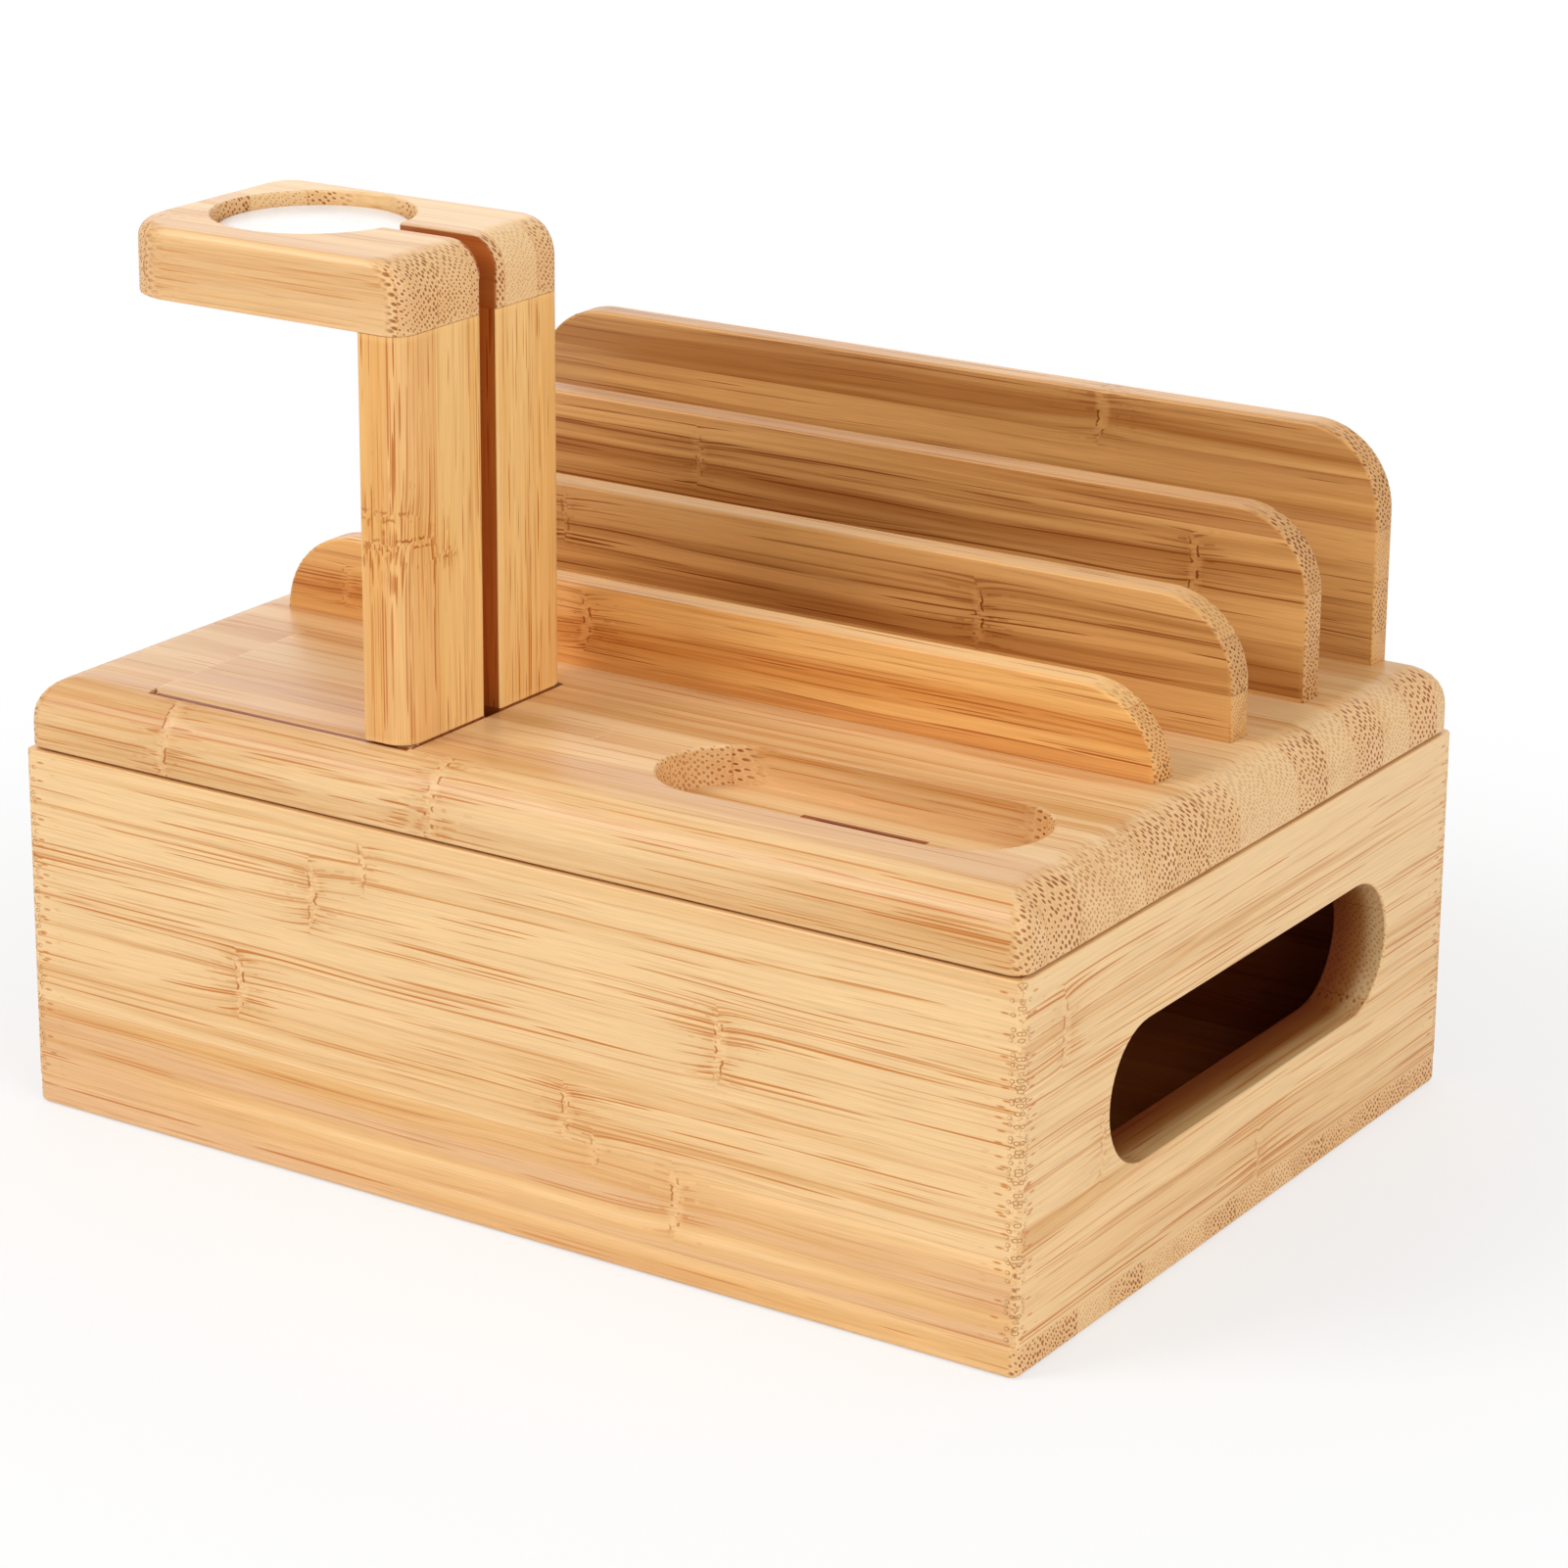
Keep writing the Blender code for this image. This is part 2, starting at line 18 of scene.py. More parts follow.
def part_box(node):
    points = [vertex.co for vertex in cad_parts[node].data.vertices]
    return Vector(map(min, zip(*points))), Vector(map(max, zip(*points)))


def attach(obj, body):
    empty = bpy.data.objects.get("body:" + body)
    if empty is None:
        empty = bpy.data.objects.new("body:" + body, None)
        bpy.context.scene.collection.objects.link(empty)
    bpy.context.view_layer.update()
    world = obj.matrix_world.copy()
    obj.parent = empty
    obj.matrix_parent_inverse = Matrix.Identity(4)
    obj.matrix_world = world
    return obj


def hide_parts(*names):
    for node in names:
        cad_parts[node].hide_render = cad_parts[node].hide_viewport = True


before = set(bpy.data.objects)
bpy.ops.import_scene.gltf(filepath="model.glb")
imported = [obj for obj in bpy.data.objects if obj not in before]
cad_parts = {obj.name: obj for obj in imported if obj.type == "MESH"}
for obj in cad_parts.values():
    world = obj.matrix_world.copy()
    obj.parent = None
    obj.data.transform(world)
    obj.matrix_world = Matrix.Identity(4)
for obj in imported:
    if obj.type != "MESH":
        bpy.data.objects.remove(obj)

MM = 0.001
QUARTER_TURN = 0.5 * math.pi
FINE_STEPS = 3
SMALL_STEPS = 4
EDGE_STEPS = 6
ROUND_STEPS = 8
CORNER_STEPS = 10
LARGE_STEPS = 18
FLARE_STEPS = 5
FLARE_TURN = math.radians(80.0)
FLARE_SPREAD_SHARE = 1.3
FLARE_LIFT_SHARE = 0.08
SHARP_ANGLE = math.radians(38.0)
ALIGNED = 0.999
OVERRUN = 2.0 * MM
NEAR = 0.001 * MM
WELD = 0.002 * MM
PHOTO_SIDE = 1601

Point = tuple[float, float]
Place = tuple[float, float, float]
Colour = tuple[float, float, float, float]
Socket = bpy.types.NodeSocket
Value = float | tuple | bpy.types.NodeSocket

ORIGIN: Place = (0.0, 0.0, 0.0)
WHITE: Colour = (1.0, 1.0, 1.0, 1.0)

log = logging.getLogger("organizer")


def mm(*lengths: float) -> tuple[float, ...]:
    """Turn lengths in millimetres into the scene's metres."""
    return tuple(length * MM for length in lengths)


class Grain(Enum):
    """The way a board's fibres run and its strips lie.

    Each value gives the object's axes along the fibres, across the strips and through them.
    """

    X_STRIPS_IN_Y = (0, 1, 2)
    X_STRIPS_IN_Z = (0, 2, 1)
    Y_STRIPS_IN_Z = (1, 2, 0)
    Y_STRIPS_IN_X = (1, 0, 2)
    Z_STRIPS_IN_Y = (2, 1, 0)


class Side(Enum):
    """The four walls of the box: the node's name and the outward direction."""

    FRONT = ("front_wall", (0.0, -1.0))
    RIGHT = ("right_wall", (1.0, 0.0))
    BACK = ("back_wall", (0.0, 1.0))
    LEFT = ("left_wall", (-1.0, 0.0))


class Slot(Enum):
    """The record's material slots."""

    PALE = "bamboo_pale"
    WARM = "bamboo_warm"
    PLASTIC = "white_plastic"


# Node wiring


class Wiring:
    """Adds shader nodes to one tree and joins them."""

    def __init__(self, tree: bpy.types.NodeTree) -> None:
        """Take the tree to work in.

        Args:
            tree: The material's or group's node tree.
        """
        self.tree = tree

    def node(self, kind: str, **settings: object) -> bpy.types.Node:
        """Add a node.

        Args:
            kind: The node's type name.
            settings: Properties to set on it.

        Returns:
            The new node.
        """
        made = self.tree.nodes.new(kind)
        for name, value in settings.items():
            setattr(made, name, value)
        return made

    def feed(self, socket: Socket, value: Value) -> None:
        """Join a socket to an output, or set its value.

        Args:
            socket: The input.
            value: An output to join to it, or what it is set to.
        """
        if isinstance(value, bpy.types.NodeSocket):
            self.tree.links.new(value, socket)
        else:
            socket.default_value = value

    def fill(self, node: bpy.types.Node, values: dict[str, Value]) -> None:
        """Feed the named inputs of a node.

        Args:
            node: The node.
            values: What its named inputs are joined to or set to.
        """
        for name, value in values.items():
            self.feed(node.inputs[name], value)

    def math(self, operation: str, *values: Value) -> Socket:
        """Add a Math node and return its result.

        Args:
            operation: The node's operation.
            values: Its inputs in order.

        Returns:
            The result.
        """
        made = self.node("ShaderNodeMath", operation=operation)
        for socket, value in zip(made.inputs, values):
            self.feed(socket, value)
        return made.outputs[0]

    def clamped(self, value: Value) -> Socket:
        """Keep a value between 0 and 1.

        Args:
            value: Any value.

        Returns:
            The value, held between 0 and 1.
        """
        made = self.node("ShaderNodeClamp")
        self.fill(made, {"Value": value})
        return made.outputs[0]

    def total(self, *values: Value) -> Socket:
        """Add up any number of values.

        Args:
            values: What is added up.

        Returns:
            The sum.
        """
        result = values[0]
        for value in values[1:]:
            result = self.math("ADD", result, value)
        return result

    def product(self, *values: Value) -> Socket:
        """Multiply any number of values.

        Args:
            values: What is multiplied.

        Returns:
            The product.
        """
        result = values[0]
        for value in values[1:]:
            result = self.math("MULTIPLY", result, value)
        return result

    def swing(self, value: Value, reach: Value) -> Socket:
        """Turn a value about 0.5 into one about zero, times its reach."""
        return self.math("MULTIPLY", self.math("SUBTRACT", value, 0.5), reach)

    def rise(self, value: Value, low: Value, high: Value) -> Socket:
        """Go smoothly from 0 at the low value to 1 at the high one.

        Args:
            value: What the result follows.
            low: Where it leaves 0.
            high: Where it reaches 1.

        Returns:
            A number from 0 to 1.
        """
        made = self.node("ShaderNodeMapRange", interpolation_type="SMOOTHSTEP")
        self.fill(made, {"Value": value, "From Min": low, "From Max": high})
        return made.outputs["Result"]

    def fall(self, value: Value, low: Value, high: Value) -> Socket:
        """Go smoothly from 1 at the low value to 0 at the high one."""
        return self.math("SUBTRACT", 1.0, self.rise(value, low, high))

    def split(self, vector: Value) -> tuple[Socket, Socket, Socket]:
        """Take a vector apart.

        Args:
            vector: The vector.

        Returns:
            Its three parts.
        """
        made = self.node("ShaderNodeSeparateXYZ")
        self.feed(made.inputs[0], vector)
        return made.outputs[0], made.outputs[1], made.outputs[2]

    def join(self, x: Value = 0.0, y: Value = 0.0, z: Value = 0.0) -> Socket:
        """Put a vector together.

        Args:
            x: The first part.
            y: The second part.
            z: The third part.

        Returns:
            The vector.
        """
        made = self.node("ShaderNodeCombineXYZ")
        self.fill(made, {"X": x, "Y": y, "Z": z})
        return made.outputs[0]

    def vector(self, operation: str, first: Value, second: Value = ORIGIN) -> Socket:
        """Add a Vector Math node and return its vector.

        Args:
            operation: The node's operation.
            first: Its first input.
            second: Its second input, where the operation has one.

        Returns:
            The result.
        """
        made = self.node("ShaderNodeVectorMath", operation=operation)
        self.feed(made.inputs[0], first)
        self.feed(made.inputs[1], second)
        return made.outputs[0]

    def noise(self, position: Value, detail: float = 2.0, roughness: float = 0.5) -> Socket:
        """Add a Noise texture that has one feature for each unit, and return its grey value.

        Args:
            position: Where the pattern is read, with one unit for each feature.
            detail: How many finer layers it has.
            roughness: How strong the finer layers are.

        Returns:
            A grey value about 0.5.
        """
        made = self.node("ShaderNodeTexNoise")
        self.fill(made, {"Vector": position, "Scale": 1.0, "Detail": detail, "Roughness": roughness})
        return made.outputs["Fac"]

    def cells(self, x: Value, y: Value, randomness: float) -> tuple[Socket, tuple[Socket, Socket, Socket]]:
        """Scatter points over a plane, one in each unit square.

        Args:
            x: The position on the plane, in units.
            y: The same across it.
            randomness: How far the points leave their squares' middles.

        Returns:
            The distance to the nearest point and three random numbers of that point.
        """
        made = self.node("ShaderNodeTexVoronoi", voronoi_dimensions="2D")
        self.fill(made, {"Vector": self.join(x, y), "Scale": 1.0, "Randomness": randomness})
        return made.outputs["Distance"], self.split(made.outputs["Color"])

    def blend(self, share: Value, first: Value, second: Value) -> Socket:
        """Mix two colours, the share being the second one's.

        Args:
            share: How much of the second colour there is.
            first: The first colour.
            second: The second colour.

        Returns:
            The mixed colour.
        """
        made = self.node("ShaderNodeMix", data_type="RGBA")
        self.feed(made.inputs[0], share)
        self.feed(made.inputs[6], first)
        self.feed(made.inputs[7], second)
        return made.outputs[2]

    def scaled(self, colour: Value, level: Value) -> Socket:
        """Make a colour lighter or darker.

        Args:
            colour: The colour.
            level: What it is multiplied by.

        Returns:
            The changed colour.
        """
        made = self.node("ShaderNodeVectorMath", operation="SCALE")
        self.feed(made.inputs[0], colour)
        self.fill(made, {"Scale": level})
        return made.outputs[0]

    def bump(self, height: Value, strength: float, distance: float) -> Socket:
        """Turn a height into a normal.

        Args:
            height: The height at each place.
            strength: How much of it shows.
            distance: The height that a value of 1 stands for.

        Returns:
            The normal.
        """
        made = self.node("ShaderNodeBump")
        self.fill(made, {"Strength": strength, "Distance": distance, "Height": height})
        return made.outputs["Normal"]

    def use(self, group: bpy.types.NodeTree, values: dict[str, Value]) -> dict[str, Socket]:
        """Add a node group with its own values.

        Args:
            group: The shared effect.
            values: What its named inputs are joined to or set to.

        Returns:
            The group's outputs by name.
        """
        made = self.node("ShaderNodeGroup", node_tree=group)
        self.fill(made, values)
        return {socket.name: socket for socket in made.outputs}


def bare_material(name: str) -> tuple[bpy.types.Material, Wiring, bpy.types.Node]:
    """Make a material and return it with its wiring and its Principled shader.

    Args:
        name: The material's name.

    Returns:
        The material, its wiring and its shader.
    """
    material = bpy.data.materials.new(name)
    material.use_nodes = True
    return material, Wiring(material.node_tree), material.node_tree.nodes["Principled BSDF"]


class Effect:
    """A shared effect: a node group with named inputs and outputs."""

    KINDS = {1: "NodeSocketFloat", 3: "NodeSocketVector", 4: "NodeSocketColor"}

    def __init__(self, name: str, inputs: dict[str, Value], outputs: dict[str, int]) -> None:
        """Make an empty group.

        Args:
            name: The group's name.
            inputs: Each input's name and its value where nothing is joined to it.
            outputs: Each output's name and how many numbers it carries: 1, 3, or 4 for a colour.
        """
        self.tree = bpy.data.node_groups.new(name, "ShaderNodeTree")
        for label, value in inputs.items():
            size = len(value) if isinstance(value, tuple) else 1
            socket = self.tree.interface.new_socket(label, in_out="INPUT", socket_type=self.KINDS[size])
            socket.default_value = value
        for label, size in outputs.items():
            self.tree.interface.new_socket(label, in_out="OUTPUT", socket_type=self.KINDS[size])
        self.wiring = Wiring(self.tree)
        self.given = self.wiring.node("NodeGroupInput").outputs
        self.result = self.wiring.node("NodeGroupOutput")

    def give(self, values: dict[str, Value]) -> bpy.types.NodeTree:
        """Join the named outputs and return the finished group."""
        self.wiring.fill(self.result, values)
        return self.tree


class BambooEffects:
    """The shared effects that every bamboo board is dressed with.

    Sizes of three numbers are those of one feature along, across and through the grain, and two
    widths say where a mark is full and where it ends. In each effect w is its wiring and g holds
    what it is given.
    """

    JOINT_WIDTHS = mm(0.02, 0.17)
    STRIP_SHIFT = 2.0
    FIBRE_SCATTER = 0.85
    LINE_SHUFFLE = 90.0
    FIBRE_SWAY = mm(70.0, 12.0, 12.0)
    FIBRE_SWAY_REACH = 2.2 * MM
    HAIR = mm(12.0, 0.22, 0.22)
    THREAD = mm(45.0, 0.55, 0.55)
    BAND = mm(120.0, 1.9, 1.9)
    BROAD = mm(170.0, 6.5, 6.5)
    BUNDLE_SWAY = mm(40.0, 6.0, 6.0)
    BUNDLE_SWAY_REACH = 1.6 * MM
    BUNDLE_SCATTER = 0.42
    BUNDLE_ROW = (0.77, 0.64)
    BUNDLE_SPACING_SHARES = (0.82, 1.22)
    PORE_SPACING_SHARES = (0.80, 0.40)
    DASH_LENGTH = 2.2 * MM
    DASH_SHUFFLE = 60.0
    WOBBLE = mm(5.0, 1.6, 1.6)
    KNUCKLE_BOW = 0.7 * MM
    KNUCKLE_SWAY_REACH = 2.4 * MM
    KNUCKLE_FADE = 4.2 * MM
    FIBRE_TURN = 0.40 * MM
    FIBRE_SPREAD = 0.9 * MM
    SCAR_BEFORE = 0.9 * MM
    SCAR_BEFORE_WIDTHS = mm(0.08, 0.30)
    SCAR_AFTER = 0.7 * MM
    SCAR_AFTER_WIDTHS = mm(0.08, 0.34)
    RIDGE_WIDTHS = mm(0.40, 1.50)
    RING_LENGTH = 1.15 * MM
    RING_WIDTH = 0.92 * MM
    RING_SCATTER = 0.7
    RING_SPAN = mm(1.1, 2.6)
    NOTCH_LENGTH = 3.6 * MM
    NOTCH_WIDTH = 0.85 * MM
    NOTCH_SCATTER = 1.0
    NOTCH_START = mm(1.2, 2.2)
    WEAR_PATCH = mm(4.0, 4.0, 4.0)
    # Painted shade in hollows: where it starts to fade, and the half-dark colour that it passes through.
    PAINTED_SHADE_EDGE = 0.02 * MM
    PAINTED_HALF_SHADE = (0.47, 0.27, 0.13, 1.0)

    def __init__(self) -> None:
        """Build each effect once."""
        self.strips = self.glued_strips()
        self.fibres = self.bamboo_fibres()
        self.bundles = self.fibre_bundles()
        self.knuckle = self.grown_knuckle()
        self.mitre = self.mitred_corner()
        self.arris = self.worn_arris()
        self.inside = self.paint_hollow_shade()
        self.tones = self.bamboo_tones()

    def glued_strips(self) -> bpy.types.NodeTree:
        """Strips glued side by side, each with a tone of its own and a shifted pattern.

        Returns:
            The group. It gives the shifted position, two tones, the skin side and the joints.
        """
        effect = Effect(
            "glued strips",
            {"Position": ORIGIN, "Strip Width": 9.0 * MM, "Phase": 0.0, "Seed": 0.0},
            {"Moved": 3, "Tone": 1, "Second": 1, "Skin": 1, "Joint": 1},
        )
        w, g = effect.wiring, effect.given
        along, across, depth = w.split(g["Position"])
        place = w.math("ADD", w.math("DIVIDE", across, g["Strip Width"]), g["Phase"])
        part = w.math("FRACT", place)
        dice = w.node("ShaderNodeTexWhiteNoise", noise_dimensions="2D")
        w.fill(dice, {"Vector": w.join(w.math("FLOOR", place), g["Seed"])})
        flip, shift, lift = w.split(dice.outputs["Color"])
        turned = w.math("GREATER_THAN", flip, 0.5)
        other = w.math("SUBTRACT", 1.0, part)
        moved = w.math("ADD", along, w.product(shift, self.STRIP_SHIFT))
        border = w.product(w.math("MINIMUM", part, other), g["Strip Width"])
        return effect.give({
            "Moved": w.join(moved, across, w.math("ADD", depth, lift)),
            "Tone": dice.outputs["Value"],
            "Second": flip,
            "Skin": w.total(w.product(other, turned), w.product(part, w.math("SUBTRACT", 1.0, turned))),
            "Joint": w.fall(border, *self.JOINT_WIDTHS),
        })

    def bamboo_fibres(self) -> bpy.types.NodeTree:
        """Fibres cut lengthwise: fine hairs, crisp brown lines in groups, and soft bands of tone.

        Returns:
            The group. It gives hairs, lines, threads, and narrow and broad bands.
        """
        effect = Effect(
            "bamboo fibres",
            {"Position": ORIGIN, "Bend": 0.0, "Mark": 0.0, "Spacing": 0.47 * MM, "Length": 30.0 * MM},
            {"Hair": 1, "Line": 1, "Thread": 1, "Band": 1, "Broad": 1},
        )
        w, g = effect.wiring, effect.given
        along, across, depth = w.split(g["Position"])
        sway = w.noise(w.vector("DIVIDE", g["Position"], self.FIBRE_SWAY), 1.0)
        shifted = w.total(across, g["Bend"], w.swing(sway, self.FIBRE_SWAY_REACH))
        position = w.join(along, shifted, depth)
        band = w.noise(w.vector("DIVIDE", position, self.BAND), 2.0, 0.55)
        broad = w.noise(w.vector("DIVIDE", position, self.BROAD), 1.0)
        column = w.math("DIVIDE", shifted, g["Spacing"])
        row = w.math("DIVIDE", depth, g["Spacing"])
        distance, (own, other, third) = w.cells(column, row, self.FIBRE_SCATTER)
        run = w.noise(w.join(w.math("DIVIDE", along, g["Length"]), w.product(own, self.LINE_SHUFFLE)), 1.0)
        group = w.total(w.swing(band, 0.55), w.swing(broad, 0.35))
        shown = w.total(run, group, w.product(g["Mark"], 0.28))
        width = w.product(w.rise(shown, 0.38, 0.70), w.total(0.28, w.product(other, 0.24)))
        stroke = w.fall(distance, w.product(width, 0.55), width)
        thread = w.noise(w.vector("DIVIDE", position, self.THREAD), 2.0, 0.6)
        start = w.math("SUBTRACT", 0.54, w.product(group, 0.6))
        return effect.give({
            "Hair": w.noise(w.vector("DIVIDE", position, self.HAIR), 2.0, 0.62),
            "Line": w.product(stroke, w.rise(shown, 0.47, 0.55), w.total(0.35, w.product(third, 0.65))),
            "Thread": w.rise(thread, start, w.math("ADD", start, 0.12)),
            "Band": band,
            "Broad": broad,
        })

    def fibre_bundles(self) -> bpy.types.NodeTree:
        """The bundles that stand in rows across a cut end, dark inside and with a pale sheath.

        Returns:
            The group. It gives the pores, their sheaths and where pores show as dashes.
        """
        effect = Effect(
            "fibre bundles",
            {"Position": ORIGIN, "Bend": 0.0, "Spacing": 0.85 * MM, "Radius": 0.33, "Skin": 0.5},
            {"Pore": 1, "Sheath": 1, "Dash": 1},
        )
        w, g = effect.wiring, effect.given
        along, across, depth = w.split(g["Position"])
        sway = w.noise(w.vector("DIVIDE", g["Position"], self.BUNDLE_SWAY), 1.0)
        one, two, _ = w.split(sway.node.outputs["Color"])
        first = w.total(across, g["Bend"], w.swing(one, self.BUNDLE_SWAY_REACH))
        second = w.math("ADD", depth, w.swing(two, self.BUNDLE_SWAY_REACH))
        cosine, sine = self.BUNDLE_ROW
        row = w.total(w.product(first, cosine), w.product(second, sine))
        column = w.total(w.product(first, -sine), w.product(second, cosine))
        places = [w.math("DIVIDE", length, w.product(g["Spacing"], share))
                  for length, share in zip((row, column), self.BUNDLE_SPACING_SHARES)]
        distance, (own, other, _) = w.cells(*places, self.BUNDLE_SCATTER)
        fine = w.math("SUBTRACT", 1.15, w.product(g["Skin"], 0.35))
        radius = w.product(g["Radius"], w.math("ADD", w.product(own, 0.4), 0.8), fine)
        dice = w.join(w.math("DIVIDE", along, self.DASH_LENGTH), w.product(own, self.DASH_SHUFFLE),
                      w.product(other, self.DASH_SHUFFLE))
        inner = w.rise(distance, radius, w.product(radius, 1.25))
        return effect.give({
            "Pore": w.fall(distance, w.product(radius, 0.55), radius),
            "Sheath": w.product(inner, w.fall(distance, w.product(radius, 1.3), w.product(radius, 1.75))),
            "Dash": w.rise(w.noise(dice, 1.0), 0.52, 0.60),
        })

    def grown_knuckle(self) -> bpy.types.NodeTree:
        """A knuckle of the cane: a pale ridge across the grain, with fibres that turn aside at it.

        Returns:
            The group. It gives the fibres' bend, the scar, the ridge and the marked zone.
        """
        effect = Effect(
            "grown knuckle",
            {"Position": ORIGIN, "Wobble": 0.5, "Place": ORIGIN, "Reach": 5.0 * MM, "Strength": 1.0},
            {"Bend": 1, "Scar": 1, "Ridge": 1, "Mark": 1},
        )
        w, g = effect.wiring, effect.given
        along, across, _ = w.split(g["Position"])
        middle, height, _ = w.split(g["Place"])
        aside = w.math("DIVIDE", w.math("SUBTRACT", across, height), g["Reach"])
        bow = w.product(aside, aside, self.KNUCKLE_BOW)
        wobble = w.swing(g["Wobble"], self.KNUCKLE_SWAY_REACH)
        offset = w.total(w.math("SUBTRACT", along, middle), wobble, bow)
        away = w.math("ABSOLUTE", offset)
        beside = w.math("ABSOLUTE", aside)
        near = w.math("EXPONENT", w.math("DIVIDE", away, -self.KNUCKLE_FADE))
        cloud = w.product(near, w.fall(beside, 0.55, 1.30), g["Strength"])
        turn = w.product(w.math("SIGN", offset), self.FIBRE_TURN)
        spread = w.product(aside, self.FIBRE_SPREAD)
        from_first = w.math("ABSOLUTE", w.math("ADD", offset, self.SCAR_BEFORE))
        from_second = w.math("ABSOLUTE", w.math("SUBTRACT", offset, self.SCAR_AFTER))
        edge = w.total(
            w.product(w.fall(from_first, *self.SCAR_BEFORE_WIDTHS), w.fall(g["Wobble"], 0.42, 0.48)),
            w.product(w.fall(from_second, *self.SCAR_AFTER_WIDTHS), w.rise(g["Wobble"], 0.50, 0.56)),
        )
        return effect.give({
            "Bend": w.product(cloud, w.math("ADD", turn, spread)),
            "Scar": w.product(edge, w.fall(beside, 0.45, 0.95), g["Strength"]),
            "Ridge": w.product(w.fall(away, *self.RIDGE_WIDTHS), w.fall(beside, 0.50, 0.95), g["Strength"]),
            "Mark": cloud,
        })

    def mitred_corner(self) -> bpy.types.NodeTree:
        """Cut bundles beside a wall's mitre: small rings at the corner, then dashes further in.

        Returns:
            The group. It gives the rings at the corner and the dashes further in.
        """
        effect = Effect(
            "mitred corner",
            {"Position": ORIGIN, "Half Length": 87.5 * MM, "Reach": 7.0 * MM},
            {"Ring": 1, "Notch": 1},
        )
        w, g = effect.wiring, effect.given
        along, across, _ = w.split(g["Position"])
        away = w.math("SUBTRACT", g["Half Length"], w.math("ABSOLUTE", along))
        row = w.math("DIVIDE", across, self.RING_WIDTH)
        distance, (own, _, _) = w.cells(w.math("DIVIDE", away, self.RING_LENGTH), row, self.RING_SCATTER)
        ring = w.product(w.rise(distance, 0.15, 0.26), w.fall(distance, 0.31, 0.43))
        shown = w.product(w.rise(own, 0.30, 0.45), w.fall(away, *self.RING_SPAN))
        row = w.math("DIVIDE", across, self.NOTCH_WIDTH)
        distance, (own, _, _) = w.cells(w.math("DIVIDE", away, self.NOTCH_LENGTH), row, self.NOTCH_SCATTER)
        before = w.fall(away, w.product(g["Reach"], 0.4), g["Reach"])
        span = w.product(w.rise(away, *self.NOTCH_START), before)
        return effect.give({
            "Ring": w.product(ring, shown),
            "Notch": w.product(w.fall(distance, 0.10, 0.26), span, w.rise(own, 0.35, 0.6)),
        })

    @staticmethod
    def away_from_middle(effect: Effect) -> Socket:
        """Measure how far the position is from the block's middle along each axis."""
        w, g = effect.wiring, effect.given
        return w.vector("ABSOLUTE", w.vector("SUBTRACT", g["Position"], g["Middle"]))

    def worn_arris(self) -> bpy.types.NodeTree:
        """The edges of a board, where handling and sanding have made the wood lighter.

        Returns:
            The group. It gives how worn a place is.
        """
        effect = Effect(
            "worn arris",
            {"Position": ORIGIN, "Middle": ORIGIN, "Half Size": (1.0, 1.0, 1.0), "Width": 1.2 * MM},
            {"Wear": 1},
        )
        w, g = effect.wiring, effect.given
        x, y, z = w.split(w.vector("SUBTRACT", g["Half Size"], self.away_from_middle(effect)))
        greater = w.math("MAXIMUM", x, y)
        edge = w.math("MAXIMUM", w.math("MINIMUM", x, y), w.math("MINIMUM", greater, z))
        patch = w.noise(w.vector("DIVIDE", g["Position"], self.WEAR_PATCH))
        reach = w.product(g["Width"], w.math("ADD", patch, 0.5))
        return effect.give({"Wear": w.fall(edge, w.product(reach, 0.25), reach)})

    def paint_hollow_shade(self) -> bpy.types.NodeTree:
        """Painted shade: where a board looks into a hollow, its colour is darkened for the shade there.

        Returns:
            The group. It gives how deep in painted shade a place is.
        """
        effect = Effect(
            "painted hollow shade",
            {"Position": ORIGIN, "Middle": ORIGIN, "Half Size": (1.0, 1.0, 1.0), "Fade": 9.0 * MM},
            {"Raw": 1},
        )
        w, g = effect.wiring, effect.given
        x, y, z = w.split(w.vector("SUBTRACT", self.away_from_middle(effect), g["Half Size"]))
        outside = w.math("MAXIMUM", w.math("MAXIMUM", x, y), z)
        return effect.give({"Raw": w.fall(outside, self.PAINTED_SHADE_EDGE, g["Fade"])})

    def bamboo_tones(self) -> bpy.types.NodeTree:
        """Bring strips, fibres, pores and knuckles together as colour, roughness and height.

        Returns:
            The group. It gives colour, roughness and height.
        """
        given = {
            "Pale": (0.9, 0.6, 0.3, 1.0), "Honey": (0.8, 0.45, 0.2, 1.0), "Rose": (0.7, 0.45, 0.25, 1.0),
            "Line Colour": (0.5, 0.2, 0.06, 1.0), "Pore Colour": (0.2, 0.08, 0.03, 1.0),
            "End Colour": (0.7, 0.4, 0.18, 1.0), "Raw Shade": (0.3, 0.11, 0.05, 1.0),
            "Line Depth": 0.6, "Pore Depth": 0.8, "Band Depth": 1.0, "Base Roughness": 0.4,
        }
        given |= {name: 0.5 for name in (
            "Tone", "Second", "Skin", "Joint", "Hair", "Line", "Thread", "Band", "Broad",
            "Pore", "Sheath", "Dash",
        )}
        given |= {name: 0.0 for name in ("End", "Scar", "Ridge", "Mark", "Ring", "Notch", "Wear", "Raw")}
        effect = Effect("bamboo tones", given, {"Color": 4, "Roughness": 1, "Height": 1})
        w, g = effect.wiring, effect.given
        side = w.math("SUBTRACT", 1.0, g["End"])
        warmth = w.clamped(w.total(
            0.40,
            w.swing(g["Tone"], 1.25),
            w.product(g["Band Depth"], w.swing(g["Broad"], 2.5)),
            w.product(g["Band Depth"], w.swing(g["Band"], 1.5)),
        ))
        rosy = w.product(w.rise(g["Second"], 0.45, 0.85), w.rise(g["Broad"], 0.38, 0.60), 0.85)
        line = w.product(side, g["Line"], g["Line Depth"])
        strong = w.clamped(w.total(0.24, w.product(g["Skin"], 0.30), w.rise(g["Second"], 0.25, 0.70)))
        pore = w.product(g["Pore"], g["Pore Depth"], g["End"], strong)
        wood = w.blend(warmth, g["Pale"], g["Honey"])
        wood = w.blend(rosy, wood, g["Rose"])
